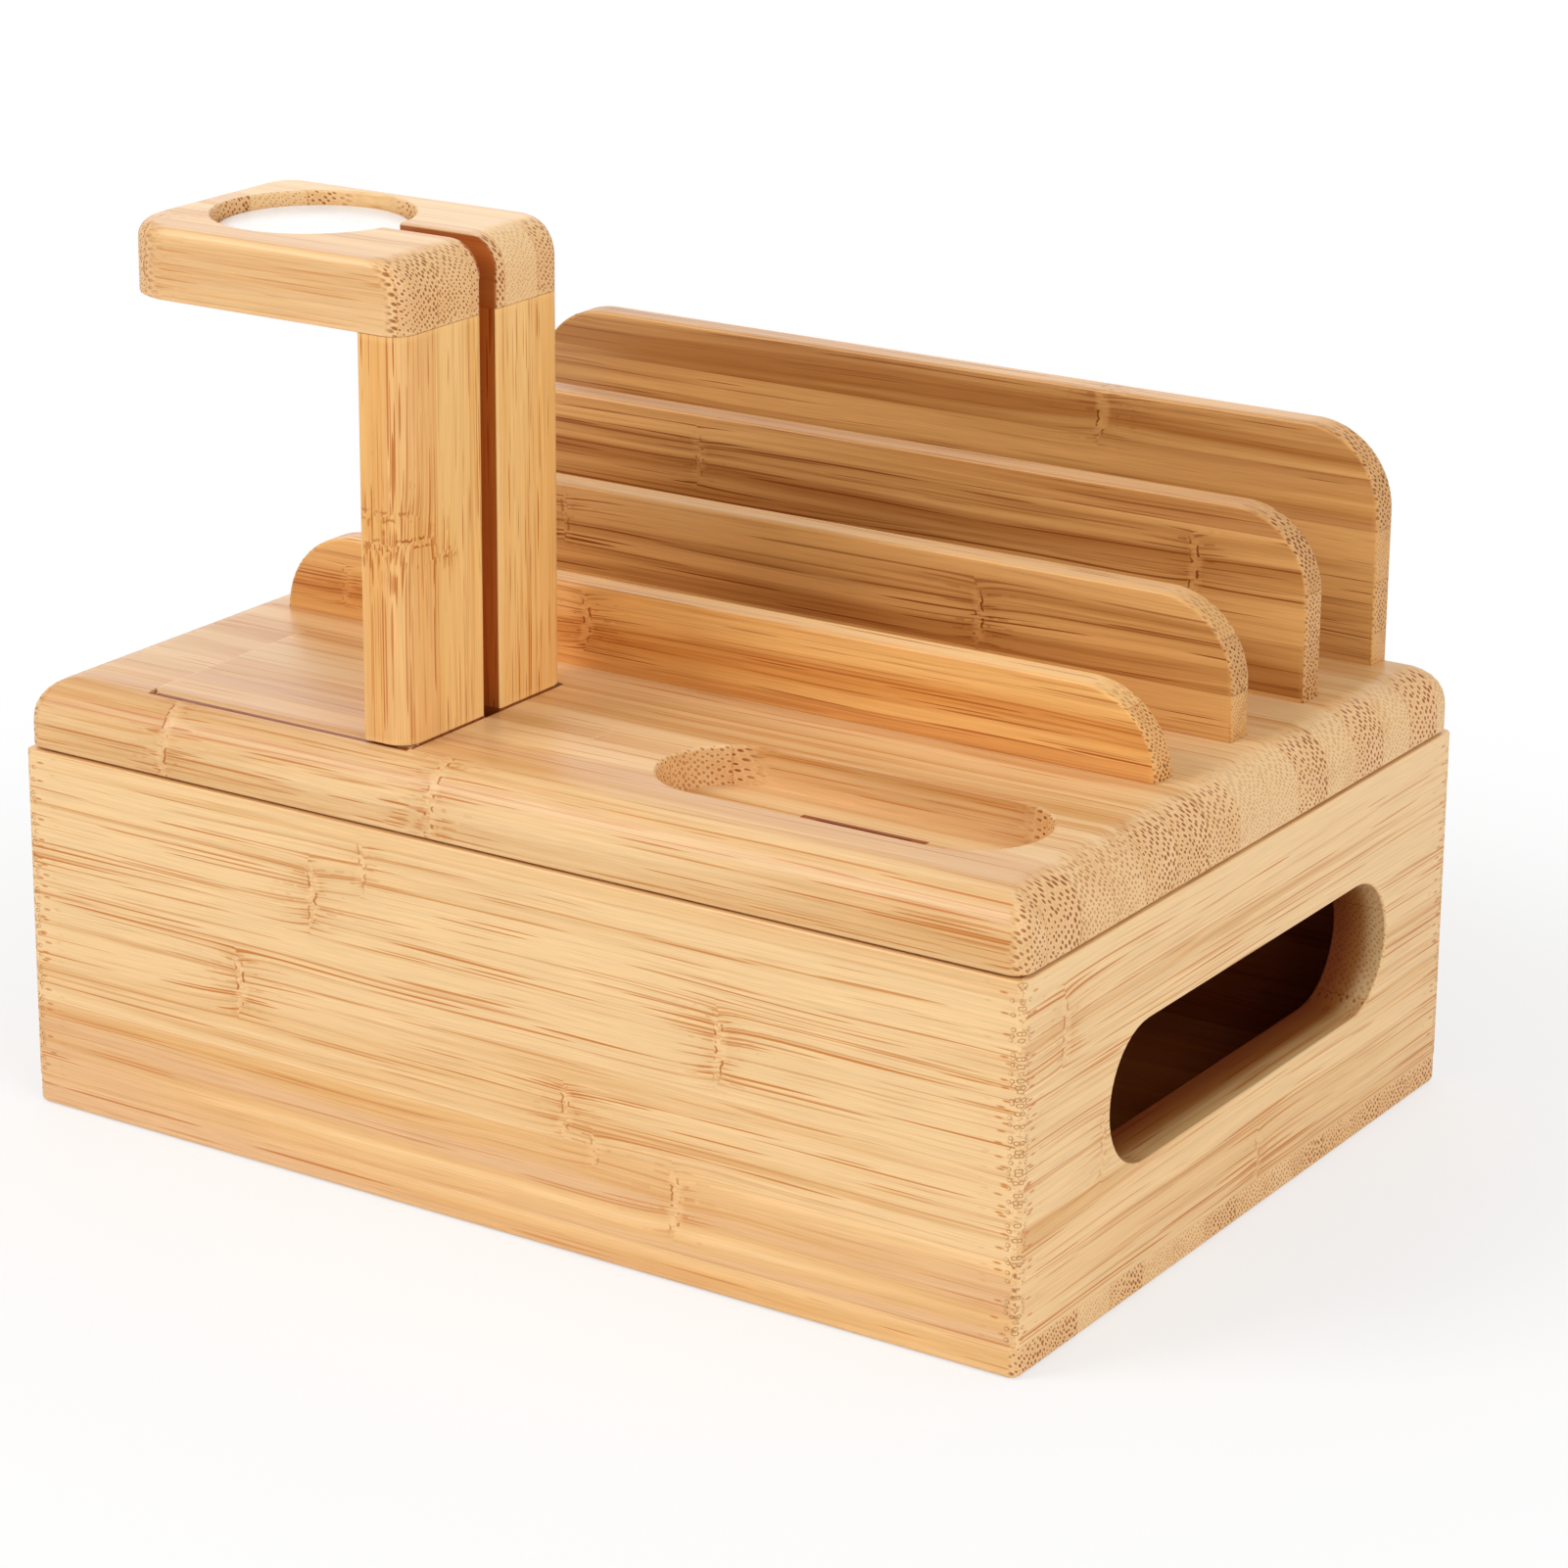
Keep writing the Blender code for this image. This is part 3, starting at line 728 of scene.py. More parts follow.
        wood = w.blend(w.product(g["Mark"], 0.35), wood, w.scaled(g["Honey"], 0.92))
        wood = w.scaled(wood, w.total(1.0, w.swing(g["Hair"], 0.42), w.swing(g["Second"], 0.10)))
        layers = (
            (w.product(side, g["Thread"], g["Line Depth"], 0.24), g["Line Colour"]),
            (line, g["Line Colour"]),
            (w.product(g["End"], w.total(0.10, w.product(g["Tone"], 0.90))), g["End Colour"]),
            (w.product(g["Joint"], w.total(0.22, w.product(g["End"], 0.3))), g["Line Colour"]),
            (w.product(g["Sheath"], g["End"], 0.60), w.scaled(g["Pale"], 1.06)),
            (w.product(g["Pore"], side, g["Dash"], g["Mark"], 0.85), g["Line Colour"]),
            (pore, g["Pore Colour"]),
            (w.product(g["Ring"], 0.85), w.scaled(g["Line Colour"], 0.62)),
            (w.product(g["Notch"], 0.90), g["Line Colour"]),
            (w.product(g["Ridge"], 0.42), w.scaled(g["Pale"], 1.05)),
            (g["Scar"], w.scaled(g["Line Colour"], 0.85)),
            (w.product(g["Wear"], 0.25), w.scaled(g["Pale"], 1.04)),
        )
        for share, colour in layers:
            wood = w.blend(share, wood, colour)
        # Painted shade: in hollows and seams the wood's colour is multiplied by a darker shade, through a
        # half-dark one.
        dim = w.blend(w.rise(g["Raw"], 0.40, 1.0), self.PAINTED_HALF_SHADE, g["Raw Shade"])
        shade = w.blend(w.rise(g["Raw"], 0.0, 0.52), WHITE, dim)
        dips = w.total(w.product(line, -0.35), w.product(pore, -0.6), w.product(g["Scar"], -0.8),
                       w.product(g["Ridge"], 2.0), w.product(g["Ring"], -0.7), w.product(g["Notch"], -0.6),
                       w.product(g["Joint"], -0.25))
        rough = w.total(g["Base Roughness"], w.swing(g["Hair"], 0.16), w.product(pore, 0.2),
                        w.product(line, 0.05), w.product(g["Wear"], -0.04), w.product(g["End"], 0.08))
        return effect.give({
            "Color": w.vector("MULTIPLY", wood, shade),
            "Roughness": w.clamped(rough),
            "Height": w.total(w.product(g["Hair"], 0.35), dips),
        })


# Finishes


@dataclass(frozen=True)
class Knuckle:
    """A knuckle of the cane on a board.

    Args:
        along: Its place along the grain.
        across: Its place across the strips.
        reach: Half its width across the grain.
        strength: How strongly it shows, from 0 to 1.
        ridge: How strongly its ridge shows, from 0 to 1.
    """

    along: float
    across: float
    reach: float = 5.5 * MM
    strength: float = 1.0
    ridge: float = 1.0


def knuckles(*marks: tuple[float, ...]) -> tuple[Knuckle, ...]:
    """Make knuckles from their fields in order, with the lengths in millimetres."""
    return tuple(Knuckle(*mm(*mark[:3]), *mark[3:]) for mark in marks)


@dataclass(frozen=True)
class ShadedHollow:
    """A hollow whose wood is darkened with painted shade, for the shade that falls inside it.

    Args:
        middle: Its middle.
        half_size: Half its sizes.
        fade: How far beyond it the dark still reaches.
        shade: The painted shade, what the wood's colour is multiplied by there.
    """

    middle: Place
    half_size: Place
    fade: float
    shade: Colour = (0.290, 0.108, 0.055, 1.0)


@dataclass(frozen=True)
class BambooTint:
    """The colours of one kind of bamboo strip."""

    pale: Colour
    honey: Colour
    rose: Colour
    line: Colour
    pore: Colour
    end: Colour


HONEY = BambooTint(
    pale=(0.900, 0.605, 0.300, 1.0),
    honey=(0.720, 0.395, 0.135, 1.0),
    rose=(0.760, 0.470, 0.250, 1.0),
    line=(0.590, 0.205, 0.034, 1.0),
    pore=(0.290, 0.072, 0.008, 1.0),
    end=(0.740, 0.425, 0.180, 1.0),
)
WHEAT = BambooTint(
    pale=(0.840, 0.555, 0.275, 1.0),
    honey=(0.660, 0.355, 0.122, 1.0),
    rose=(0.700, 0.430, 0.228, 1.0),
    line=(0.550, 0.185, 0.030, 1.0),
    pore=(0.290, 0.072, 0.008, 1.0),
    end=(0.770, 0.445, 0.190, 1.0),
)
AMBER = BambooTint(
    pale=(0.930, 0.590, 0.230, 1.0),
    honey=(0.820, 0.430, 0.110, 1.0),
    rose=(0.820, 0.480, 0.190, 1.0),
    line=(0.520, 0.150, 0.016, 1.0),
    pore=(0.240, 0.062, 0.009, 1.0),
    end=(0.620, 0.320, 0.110, 1.0),
)
GINGER = BambooTint(
    pale=(0.900, 0.510, 0.170, 1.0),
    honey=(0.720, 0.310, 0.070, 1.0),
    rose=(0.780, 0.400, 0.140, 1.0),
    line=(0.420, 0.105, 0.010, 1.0),
    pore=(0.200, 0.048, 0.007, 1.0),
    end=(0.580, 0.280, 0.085, 1.0),
)
COPPER = BambooTint(
    pale=(0.740, 0.395, 0.130, 1.0),
    honey=(0.440, 0.175, 0.036, 1.0),
    rose=(0.580, 0.285, 0.100, 1.0),
    line=(0.270, 0.066, 0.007, 1.0),
    pore=(0.170, 0.042, 0.006, 1.0),
    end=(0.560, 0.285, 0.095, 1.0),
)


@dataclass(frozen=True)
class BambooFinish:
    """A lacquered bamboo board.

    Args:
        name: The material's name.
        grain: The way fibres and strips run.
        tint: The colours.
        slot: The record's slot; not used.
        strip_width: How wide each glued strip is.
        phase: How far the first strip is shifted, as a share of its width.
        seed: Makes the strips of one board unlike another's.
        line_length: How long a dark line runs before it fades.
        line_depth: How strongly dark lines show.
        band_depth: How strongly soft bands of tone show.
        pore_depth: How strongly pores show.
        pore_spacing: The middle distance between pores.
        pore_radius: The size of a pore as a share of the spacing.
        end_facing: How squarely a face looks along the grain where its pores start and are full.
        roughness: The lacquer's roughness.
        gloss: The lacquer's specular level.
        coat: The weight of the clear coat.
        coat_roughness: The clear coat's roughness.
        bump_strength: How strongly the pattern stands out.
        bump_height: How far it stands out.
        mitre_half_length: Half the length of a mitred wall, or zero on other boards.
        knuckles: The knuckles on the board.
        hollows: The hollows that the board looks into, darkened with painted shade, all of one shade.
    """

    name: str
    grain: Grain
    tint: BambooTint = HONEY
    slot: Slot = Slot.PALE
    strip_width: float = 9.0 * MM
    phase: float = 0.0
    seed: float = 0.0
    line_length: float = 30.0 * MM
    line_depth: float = 1.05
    band_depth: float = 1.0
    pore_depth: float = 0.95
    pore_spacing: float = 0.88 * MM
    pore_radius: float = 0.34
    end_facing: tuple[float, float] = (0.14, 0.55)
    roughness: float = 0.36
    gloss: float = 0.32
    coat: float = 0.08
    coat_roughness: float = 0.22
    bump_strength: float = 0.35
    bump_height: float = 0.06 * MM
    mitre_half_length: float = 0.0
    knuckles: tuple[Knuckle, ...] = ()
    hollows: tuple[ShadedHollow, ...] = ()

    def dress(self, effects: BambooEffects, low: Vector, high: Vector) -> bpy.types.Material:
        """Make the material of a board.

        Args:
            effects: The shared effects.
            low: The lowest corner of the block whose edges are worn.
            high: Its highest corner.

        Returns:
            The finished material.
        """
        material, w, shader = bare_material(self.name)
        coordinates = w.node("ShaderNodeTexCoord").outputs
        place = coordinates["Object"]
        axes = w.split(place)
        position = w.join(*[axes[axis] for axis in self.grain.value])
        facing = w.math("ABSOLUTE", w.split(coordinates["Normal"])[self.grain.value[0]])
        strips = w.use(effects.strips, {
            "Position": position, "Strip Width": self.strip_width, "Phase": self.phase, "Seed": self.seed,
        })
        knots = self.knuckle_masks(w, effects, position)
        fibres = w.use(effects.fibres, {
            "Position": strips["Moved"], "Bend": knots["Bend"], "Mark": knots["Mark"],
            "Length": self.line_length,
        })
        least, more = effects.PORE_SPACING_SHARES
        gap = w.product(w.total(least, w.product(strips["Tone"], more)), self.pore_spacing)
        bundles = w.use(effects.bundles, {
            "Position": strips["Moved"], "Bend": knots["Bend"], "Spacing": gap,
            "Radius": self.pore_radius, "Skin": strips["Skin"],
        })
        wear = w.use(effects.arris, {
            "Position": place, "Middle": tuple((low + high) / 2.0), "Half Size": tuple((high - low) / 2.0),
        })
        masks = {**fibres, **bundles, **wear, **{name: knots[name] for name in ("Scar", "Ridge", "Mark")}}
        masks |= {name: strips[name] for name in ("Tone", "Second", "Skin", "Joint")}
        if self.mitre_half_length:
            masks |= w.use(effects.mitre, {"Position": position, "Half Length": self.mitre_half_length})
        # Painted shade: each hollow darkens the board's colour where the board looks into it.
        for hollow in self.hollows:
            painted_shade = w.use(effects.inside, {
                "Position": place, "Middle": hollow.middle, "Half Size": hollow.half_size,
                "Fade": hollow.fade,
            })["Raw"]
            masks["Raw"] = w.math("MAXIMUM", masks["Raw"], painted_shade) if "Raw" in masks else painted_shade
            masks["Raw Shade"] = hollow.shade
        tones = w.use(effects.tones, {
            "Pale": self.tint.pale, "Honey": self.tint.honey, "Rose": self.tint.rose,
            "Line Colour": self.tint.line, "Pore Colour": self.tint.pore, "End Colour": self.tint.end,
            "End": w.rise(facing, *self.end_facing), "Line Depth": self.line_depth,
            "Pore Depth": self.pore_depth, "Band Depth": self.band_depth, "Base Roughness": self.roughness,
            **masks,
        })
        w.fill(shader, {
            "Base Color": tones["Color"],
            "Roughness": tones["Roughness"],
            "Normal": w.bump(tones["Height"], self.bump_strength, self.bump_height),
            "Specular IOR Level": self.gloss,
            "Coat Weight": self.coat,
            "Coat Roughness": self.coat_roughness,
        })
        return material

    def knuckle_masks(self, w: Wiring, effects: BambooEffects, position: Socket) -> dict[str, Value]:
        """Add the board's knuckles.

        Args:
            w: The material's wiring.
            effects: The shared effects.
            position: The position along, across and through the grain.

        Returns:
            The added masks by name, all zero where the board has no knuckle.
        """
        names = ("Bend", "Scar", "Ridge", "Mark")
        if not self.knuckles:
            return {name: 0.0 for name in names}
        wobble = w.noise(w.vector("DIVIDE", position, effects.WOBBLE))
        sums: dict[str, Value] = {}
        for knuckle in self.knuckles:
            made = w.use(effects.knuckle, {
                "Position": position, "Wobble": wobble, "Place": (knuckle.along, knuckle.across, 0.0),
                "Reach": knuckle.reach, "Strength": knuckle.strength,
            })
            made["Ridge"] = w.product(made["Ridge"], knuckle.ridge)
            sums = {name: w.total(sums[name], made[name]) if sums else made[name] for name in names}
        return sums


@dataclass(frozen=True)
class PlasticFinish:
    """Softly glossy moulded plastic with a faint grain and dust."""

    name: str = "white_moulded_plastic"
    slot: Slot = Slot.PLASTIC
    colour: Colour = (0.90, 0.885, 0.87, 1.0)
    shade: Colour = (0.82, 0.80, 0.78, 1.0)
    roughness: float = 0.26
    grain: Place = mm(0.35, 0.35, 0.35)
    cloud: Place = mm(9.0, 9.0, 9.0)
    bump_strength: float = 0.15
    bump_height: float = 0.02 * MM

    def dress(self) -> bpy.types.Material:
        """Make the material.

        Returns:
            The material.
        """
        material, w, shader = bare_material(self.name)
        place = w.node("ShaderNodeTexCoord").outputs["Object"]
        cloud = w.noise(w.vector("DIVIDE", place, self.cloud), 3.0)
        grain = w.noise(w.vector("DIVIDE", place, self.grain))
        speck = w.rise(grain, 0.70, 0.78)
        tone = w.clamped(w.total(w.rise(cloud, 0.3, 0.75), w.product(speck, 0.5)))
        w.fill(shader, {
            "Base Color": w.blend(w.product(tone, 0.6), self.colour, self.shade),
            "Roughness": w.total(self.roughness, w.swing(cloud, 0.12), w.product(speck, 0.15)),
            "Normal": w.bump(grain, self.bump_strength, self.bump_height),
        })
        return material


# Modelling


@dataclass(frozen=True)
class Rim:
    """A length for each side of a board: left, right, front and back."""

    left: float
    right: float
    front: float
    back: float

    @classmethod
    def even(cls, length: float) -> "Rim":
        """Make a rim that is the same on every side."""
        return cls(length, length, length, length)


@dataclass(frozen=True)
class Plan:
    """A rounded rectangle.

    Args:
        low: Its low corner.
        high: Its high corner.
        radii: Its corner radii: front left, front right, back right and back left.
    """

    low: Point
    high: Point
    radii: tuple[float, float, float, float]

    @classmethod
    def around(cls, low: Vector, high: Vector, *radii: float, room: Rim = Rim.even(0.0)) -> "Plan":
        """Take the plan of a block of the frame.

        Args:
            low: The block's low corner.
            high: Its high corner.
            radii: One radius for every corner, or four.
            room: How far the plan reaches beyond the block.

        Returns:
            The plan.
        """
        four = radii if len(radii) == 4 else radii * 4
        return cls((low.x - room.left, low.y - room.front), (high.x + room.right, high.y + room.back), four)

    @classmethod
    def oblong(cls, middle: Point, length: float, width: float) -> "Plan":
        """Make an oblong with half-round ends, or a disc where both sizes are one.

        Args:
            middle: Its middle.
            length: Its size along X.
            width: Its size along Y.

        Returns:
            The plan.
        """
        low = (middle[0] - length / 2.0, middle[1] - width / 2.0)
        high = (middle[0] + length / 2.0, middle[1] + width / 2.0)
        return cls(low, high, (min(length, width) / 2.0,) * 4)

    def corner_points(self, spread: Rim) -> list[Vector]:
        """List every corner's points, with the sides moved outwards by the spread.

        Args:
            spread: How far each side is moved outwards.

        Returns:
            The points of all four corners in order.
        """
        x_low, x_high = self.low[0] - spread.left, self.high[0] + spread.right
        y_low, y_high = self.low[1] - spread.front, self.high[1] + spread.back
        corners = ((x_low, y_low), (x_high, y_low), (x_high, y_high), (x_low, y_high))
        inward = ((1.0, 1.0), (-1.0, 1.0), (-1.0, -1.0), (1.0, -1.0))
        growths = (spread.front, spread.front, spread.back, spread.back)
        points = []
        for turn, (corner, way, radius, growth) in enumerate(zip(corners, inward, self.radii, growths)):
            grown = radius + growth if growth >= 0.0 else radius * radius / (radius - growth)
            middle = Vector(corner) + grown * Vector(way)
            for step in range(CORNER_STEPS + 1):
                angle = math.pi + QUARTER_TURN * (turn + step / CORNER_STEPS)
                points.append(middle + grown * Vector((math.cos(angle), math.sin(angle))))
        return points

    def ring(self, spread: Rim = Rim.even(0.0)) -> list[Vector]:
        """List the points round the plan, the same number for any spread.

        Args:
            spread: How far each side is moved outwards; below zero it is inset.

        Returns:
            The points, counter-clockwise.
        """
        plain = self.corner_points(Rim.even(0.0))
        points = zip(self.corner_points(spread), plain, plain[-1:] + plain)
        return [point for point, here, before in points if (here - before).length > NEAR]


def inset_at(depth: float, radius: float) -> float:
    """Say how far a quarter-round stands back at a depth below the face it eases.

    Args:
        depth: How far below the face.
        radius: The quarter-round's radius.

    Returns:
        How far it stands back there.
    """
    if depth >= radius:
        return 0.0
    return radius - math.sqrt(max(0.0, radius * radius - (radius - depth) ** 2))


def loft(rings: list[tuple[float, list[Vector]]]) -> bmesh.types.BMesh:
    """Extrude a flat ring of points from height to height and close both ends.

    Args:
        rings: Each ring's height and points, all of one number.

    Returns:
        A closed mesh.
    """
    bm = bmesh.new()
    height, points = rings[0]
    ring = [bm.verts.new((point.x, point.y, height)) for point in points]
    edges = [bm.edges.new(pair) for pair in zip(ring, ring[1:] + ring[:1])]
    bmesh.ops.contextual_create(bm, geom=edges)
    for height, points in rings[1:]:
        below = set(ring)
        grown = bmesh.ops.extrude_edge_only(bm, edges=edges)["geom"]
        raised = {edge.other_vert(vert): vert for vert in grown if isinstance(vert, bmesh.types.BMVert)
                  for edge in vert.link_edges if edge.other_vert(vert) in below}
        ring = [raised[vert] for vert in ring]
        for vert, point in zip(ring, points):
            vert.co = (point.x, point.y, height)
        edges = [bm.edges.get(pair) for pair in zip(ring, ring[1:] + ring[:1])]
    bmesh.ops.contextual_create(bm, geom=edges)
    bmesh.ops.recalc_face_normals(bm, faces=bm.faces)
    return bm


def eased_board(plan: Plan, bottom: float, top: float, under: float, over: Rim) -> bmesh.types.BMesh:
    """Make a board with rounded corners and eased upper and lower edges.

    Args:
        plan: Its outline.
        bottom: The height of its underside.
        top: The height of its top.
        under: The radius along its lower edges.
        over: The radius along each upper edge.

    Returns:
        A closed mesh.
    """
    eases = (over.left, over.right, over.front, over.back)
    turns = [QUARTER_TURN * step / ROUND_STEPS for step in range(ROUND_STEPS + 1)]
    heights = [bottom + under * (1.0 - math.cos(turn)) for turn in turns]
    heights += [top - max(eases) * (1.0 - math.sin(turn)) for turn in turns]
    rings = []
    for height in heights:
        lower = inset_at(height - bottom, under)
        rings.append((height, plan.ring(Rim(*[-lower - inset_at(top - height, ease) for ease in eases]))))
    return loft(rings)


def straight_cutter(plan: Plan, floor: float, top: float) -> bmesh.types.BMesh:
    """Make a cutter with upright sides."""
    return loft([(floor, plan.ring()), (top, plan.ring())])


def flared_cutter(plan: Plan, floor: float, top: float, flare: float,
                  turn: Matrix = Matrix.Identity(4)) -> bmesh.types.BMesh:
    """Make a cutter that leaves a rounded rim where it comes out.

    Args:
        plan: The hole's outline.
        floor: The height that it reaches down to.
        top: The height of the face that it opens.
        flare: The rim's radius.
        turn: Turns the cutter from upright to its place.

    Returns:
        A closed mesh.
    """
    rings = [(floor, plan.ring())]
    for step in range(FLARE_STEPS + 1):
        angle = FLARE_TURN * step / FLARE_STEPS
        spread = Rim.even(flare * (1.0 - math.cos(angle)))
        rings.append((top - flare * (1.0 - math.sin(angle)), plan.ring(spread)))
    wide = plan.ring(Rim.even(flare * FLARE_SPREAD_SHARE))
    rings += [(top + flare * FLARE_LIFT_SHARE, wide), (top + OVERRUN, wide)]
    bm = loft(rings)
    bm.transform(turn)
    return bm


def laid_along_x(way: float) -> Matrix:
    """Make the turn that lays an upright cutter along X, its plan in Y and Z.

    Args:
        way: 1 where the cutter comes out towards high X, and -1 towards low X.

    Returns:
        The turn.
    """
    return Matrix(((0.0, 0.0, way, 0.0), (way, 0.0, 0.0, 0.0), (0.0, 1.0, 0.0, 0.0), (0.0, 0.0, 0.0, 1.0)))


def block(low: Vector, high: Vector) -> bmesh.types.BMesh:
    """Make a plain block from corner to corner.

    Args:
        low: Its low corner.
        high: Its high corner.

    Returns:
        The mesh.
    """
    bm = bmesh.new()
    bmesh.ops.create_cube(bm, size=1.0)
    bmesh.ops.scale(bm, verts=bm.verts, vec=high - low)
    bmesh.ops.translate(bm, verts=bm.verts, vec=(high + low) / 2.0)
    return bm


def edges_along(bm: bmesh.types.BMesh, axis: int) -> list[bmesh.types.BMEdge]:
    """List the edges that run along one axis.

    Args:
        bm: The mesh.
        axis: 0, 1 or 2 for X, Y or Z.

    Returns:
        The edges.
    """
    found = []
    for edge in bm.edges:
        way = edge.verts[1].co - edge.verts[0].co
        if abs(way[axis]) > ALIGNED * way.length:
            found.append(edge)
    return found


def flat_face(bm: bmesh.types.BMesh, axis: int, sign: float) -> bmesh.types.BMFace:
    """Find the largest face that looks along an axis.

    Args:
        bm: The mesh.
        axis: 0, 1 or 2 for X, Y or Z.
        sign: 1 for a face that looks up the axis, -1 for one that looks down it.

    Returns:
        The face.
    """
    bm.normal_update()
    facing = [face for face in bm.faces if face.normal[axis] * sign > ALIGNED]
    return max(facing, key=lambda face: face.calc_area())


def round_edges(bm: bmesh.types.BMesh, edges: list[bmesh.types.BMEdge], radius: float, steps: int) -> None:
    """Round some edges.

    Args:
        bm: The mesh.
        edges: The edges.
        radius: Their radius.
        steps: How many strips make the round.
    """
    bmesh.ops.bevel(
        bm, geom=edges, offset=radius, offset_type="OFFSET", segments=steps, profile=0.5,
        affect="EDGES", clamp_overlap=True, material=-1,
    )


def cut_away(bm: bmesh.types.BMesh, point: Vector, outward: Vector) -> None:
    """Take off what lies beyond a plane and close the cut.

    Args:
        bm: The mesh.
        point: A point of the plane.
        outward: The side that is taken off.
    """
    geometry = [*bm.verts, *bm.edges, *bm.faces]
    bmesh.ops.bisect_plane(
        bm, geom=geometry, dist=0.1 * NEAR, plane_co=point, plane_no=outward, clear_outer=True,
    )
    bmesh.ops.holes_fill(bm, edges=[edge for edge in bm.edges if edge.is_boundary], sides=0)
    bmesh.ops.recalc_face_normals(bm, faces=bm.faces)


def as_object(name: str, bm: bmesh.types.BMesh) -> bpy.types.Object:
    """Turn a mesh in the making into an object of the scene.

    Args:
        name: The object's name.
        bm: Its mesh in the making, which is used up.

    Returns:
        The object.
    """
    mesh = bpy.data.meshes.new(name)
    bm.to_mesh(mesh)
    bm.free()
    item = bpy.data.objects.new(name, mesh)
    bpy.context.scene.collection.objects.link(item)
    return item


def carve(blank: bmesh.types.BMesh, cutters: list[bmesh.types.BMesh]) -> bmesh.types.BMesh:
    """Cut shapes out of a blank.

    Args:
        blank: What is cut.
        cutters: The shapes.

    Returns:
        The carved mesh.

    Raises:
        ValueError: Where a cut leaves nothing of the blank.
    """
    body = as_object("blank", blank)
    tools = [as_object(f"cutter_{number}", cutter) for number, cutter in enumerate(cutters)]
    for tool in tools:
        modifier = body.modifiers.new(tool.name, "BOOLEAN")
        modifier.operation = "DIFFERENCE"
        modifier.solver = "EXACT"
        modifier.object = tool
    depsgraph = bpy.context.evaluated_depsgraph_get()
    mesh = body.evaluated_get(depsgraph).to_mesh()
    bm = bmesh.new()
    bm.from_mesh(mesh)
    for item in (body, *tools):
        bpy.data.objects.remove(item, do_unlink=True)
    bmesh.ops.remove_doubles(bm, verts=bm.verts, dist=WELD)
    bmesh.ops.recalc_face_normals(bm, faces=bm.faces)
    if not bm.faces:
        raise ValueError("a cut has left nothing of its blank")
    return bm


def hand_over(name: str, bm: bmesh.types.BMesh, node: str, body: str,
              material: bpy.types.Material) -> None:
    """Finish a piece and set it in the frame.

    Args:
        name: The piece's name.
        bm: Its mesh.
        node: The node of the frame that it stands for.
        body: The body that it moves with.
        material: Its finish.
    """
    piece = as_object(name, bm)
    piece.data.materials.append(material)
    piece.data.shade_smooth()
    piece.data.set_sharp_from_angle(angle=SHARP_ANGLE)
    weighted = piece.modifiers.new("even_normals", "WEIGHTED_NORMAL")
    weighted.keep_sharp = True
    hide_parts(node)
    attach(piece, body)
    log.info("%s: %d faces, rides on %s", name, len(piece.data.polygons), body)


# Sub-assemblies


# Painted shade for the cable's way and for the seams, and the hollows that it darkens: in the foot's
# pocket these are the groove's end and the seams along the foot's front and right side, where
# shade falls in the narrow gaps.
CABLE_WAY_SHADE = (0.620, 0.270, 0.105, 1.0)
SEAM_SHADE = (0.380, 0.140, 0.035, 1.0)
ROUND_FOOT_SHADE = (
    ShadedHollow(mm(-21.0, -39.0, 62.8), mm(2.8, 1.95, 6.1), 0.3 * MM, SEAM_SHADE),
    ShadedHollow(mm(-42.9, -59.1, 68.2), mm(24.2, 0.42, 0.32), 0.1 * MM, SEAM_SHADE),
    ShadedHollow(mm(-18.35, -40.0, 68.7), mm(0.2, 18.6, 0.25), 0.1 * MM, SEAM_SHADE),
)
# Painted shade in the dock's slit.
DOCK_SLIT_SHADE = ShadedHollow(mm(45.15, -40.6, 59.5), mm(10.35, 3.85, 3.2), 0.15 * MM, SEAM_SHADE)
# Painted shade down the post's groove and in the head's slot.
POST_GROOVE_SHADE = ShadedHollow(mm(-21.3, -39.0, 100.0), mm(2.3, 1.95, 40.0), 0.5 * MM, CABLE_WAY_SHADE)
HEAD_SLOT_SHADE = ShadedHollow(mm(-28.0, -39.0, 134.0), mm(9.2, 1.95, 5.2), 0.5 * MM, CABLE_WAY_SHADE)
# Painted shade inside the box, on the walls' inner faces and on the base's floor.
INSIDE_OF_BOX_SHADE = ShadedHollow(ORIGIN, mm(78.6, 56.1, 48.0), 9.0 * MM)
FLOOR_OF_BOX_SHADE = ShadedHollow(mm(0.0, 0.0, 30.0), mm(78.6, 56.1, 25.4), 0.3 * MM)


@dataclass
class SubAssembly:
    """What the wooden sub-assemblies share.

    Args:
        effects: The shared effects that their boards are dressed with.
    """

    effects: BambooEffects
    body: str = ""

    def finish_board(self, node: str, bm: bmesh.types.BMesh, finish: BambooFinish, low: Vector,
                     high: Vector) -> None:
        """Dress a board in bamboo and hand it over.

        Args:
            node: The node of the frame that it stands for.
            bm: Its mesh.
            finish: Its bamboo.
            low: The lowest corner of the block whose edges are worn.
            high: Its highest corner.
        """
        material = finish.dress(self.effects, low, high)
        hand_over(f"{node}_wood", bm, node, self.body, material)


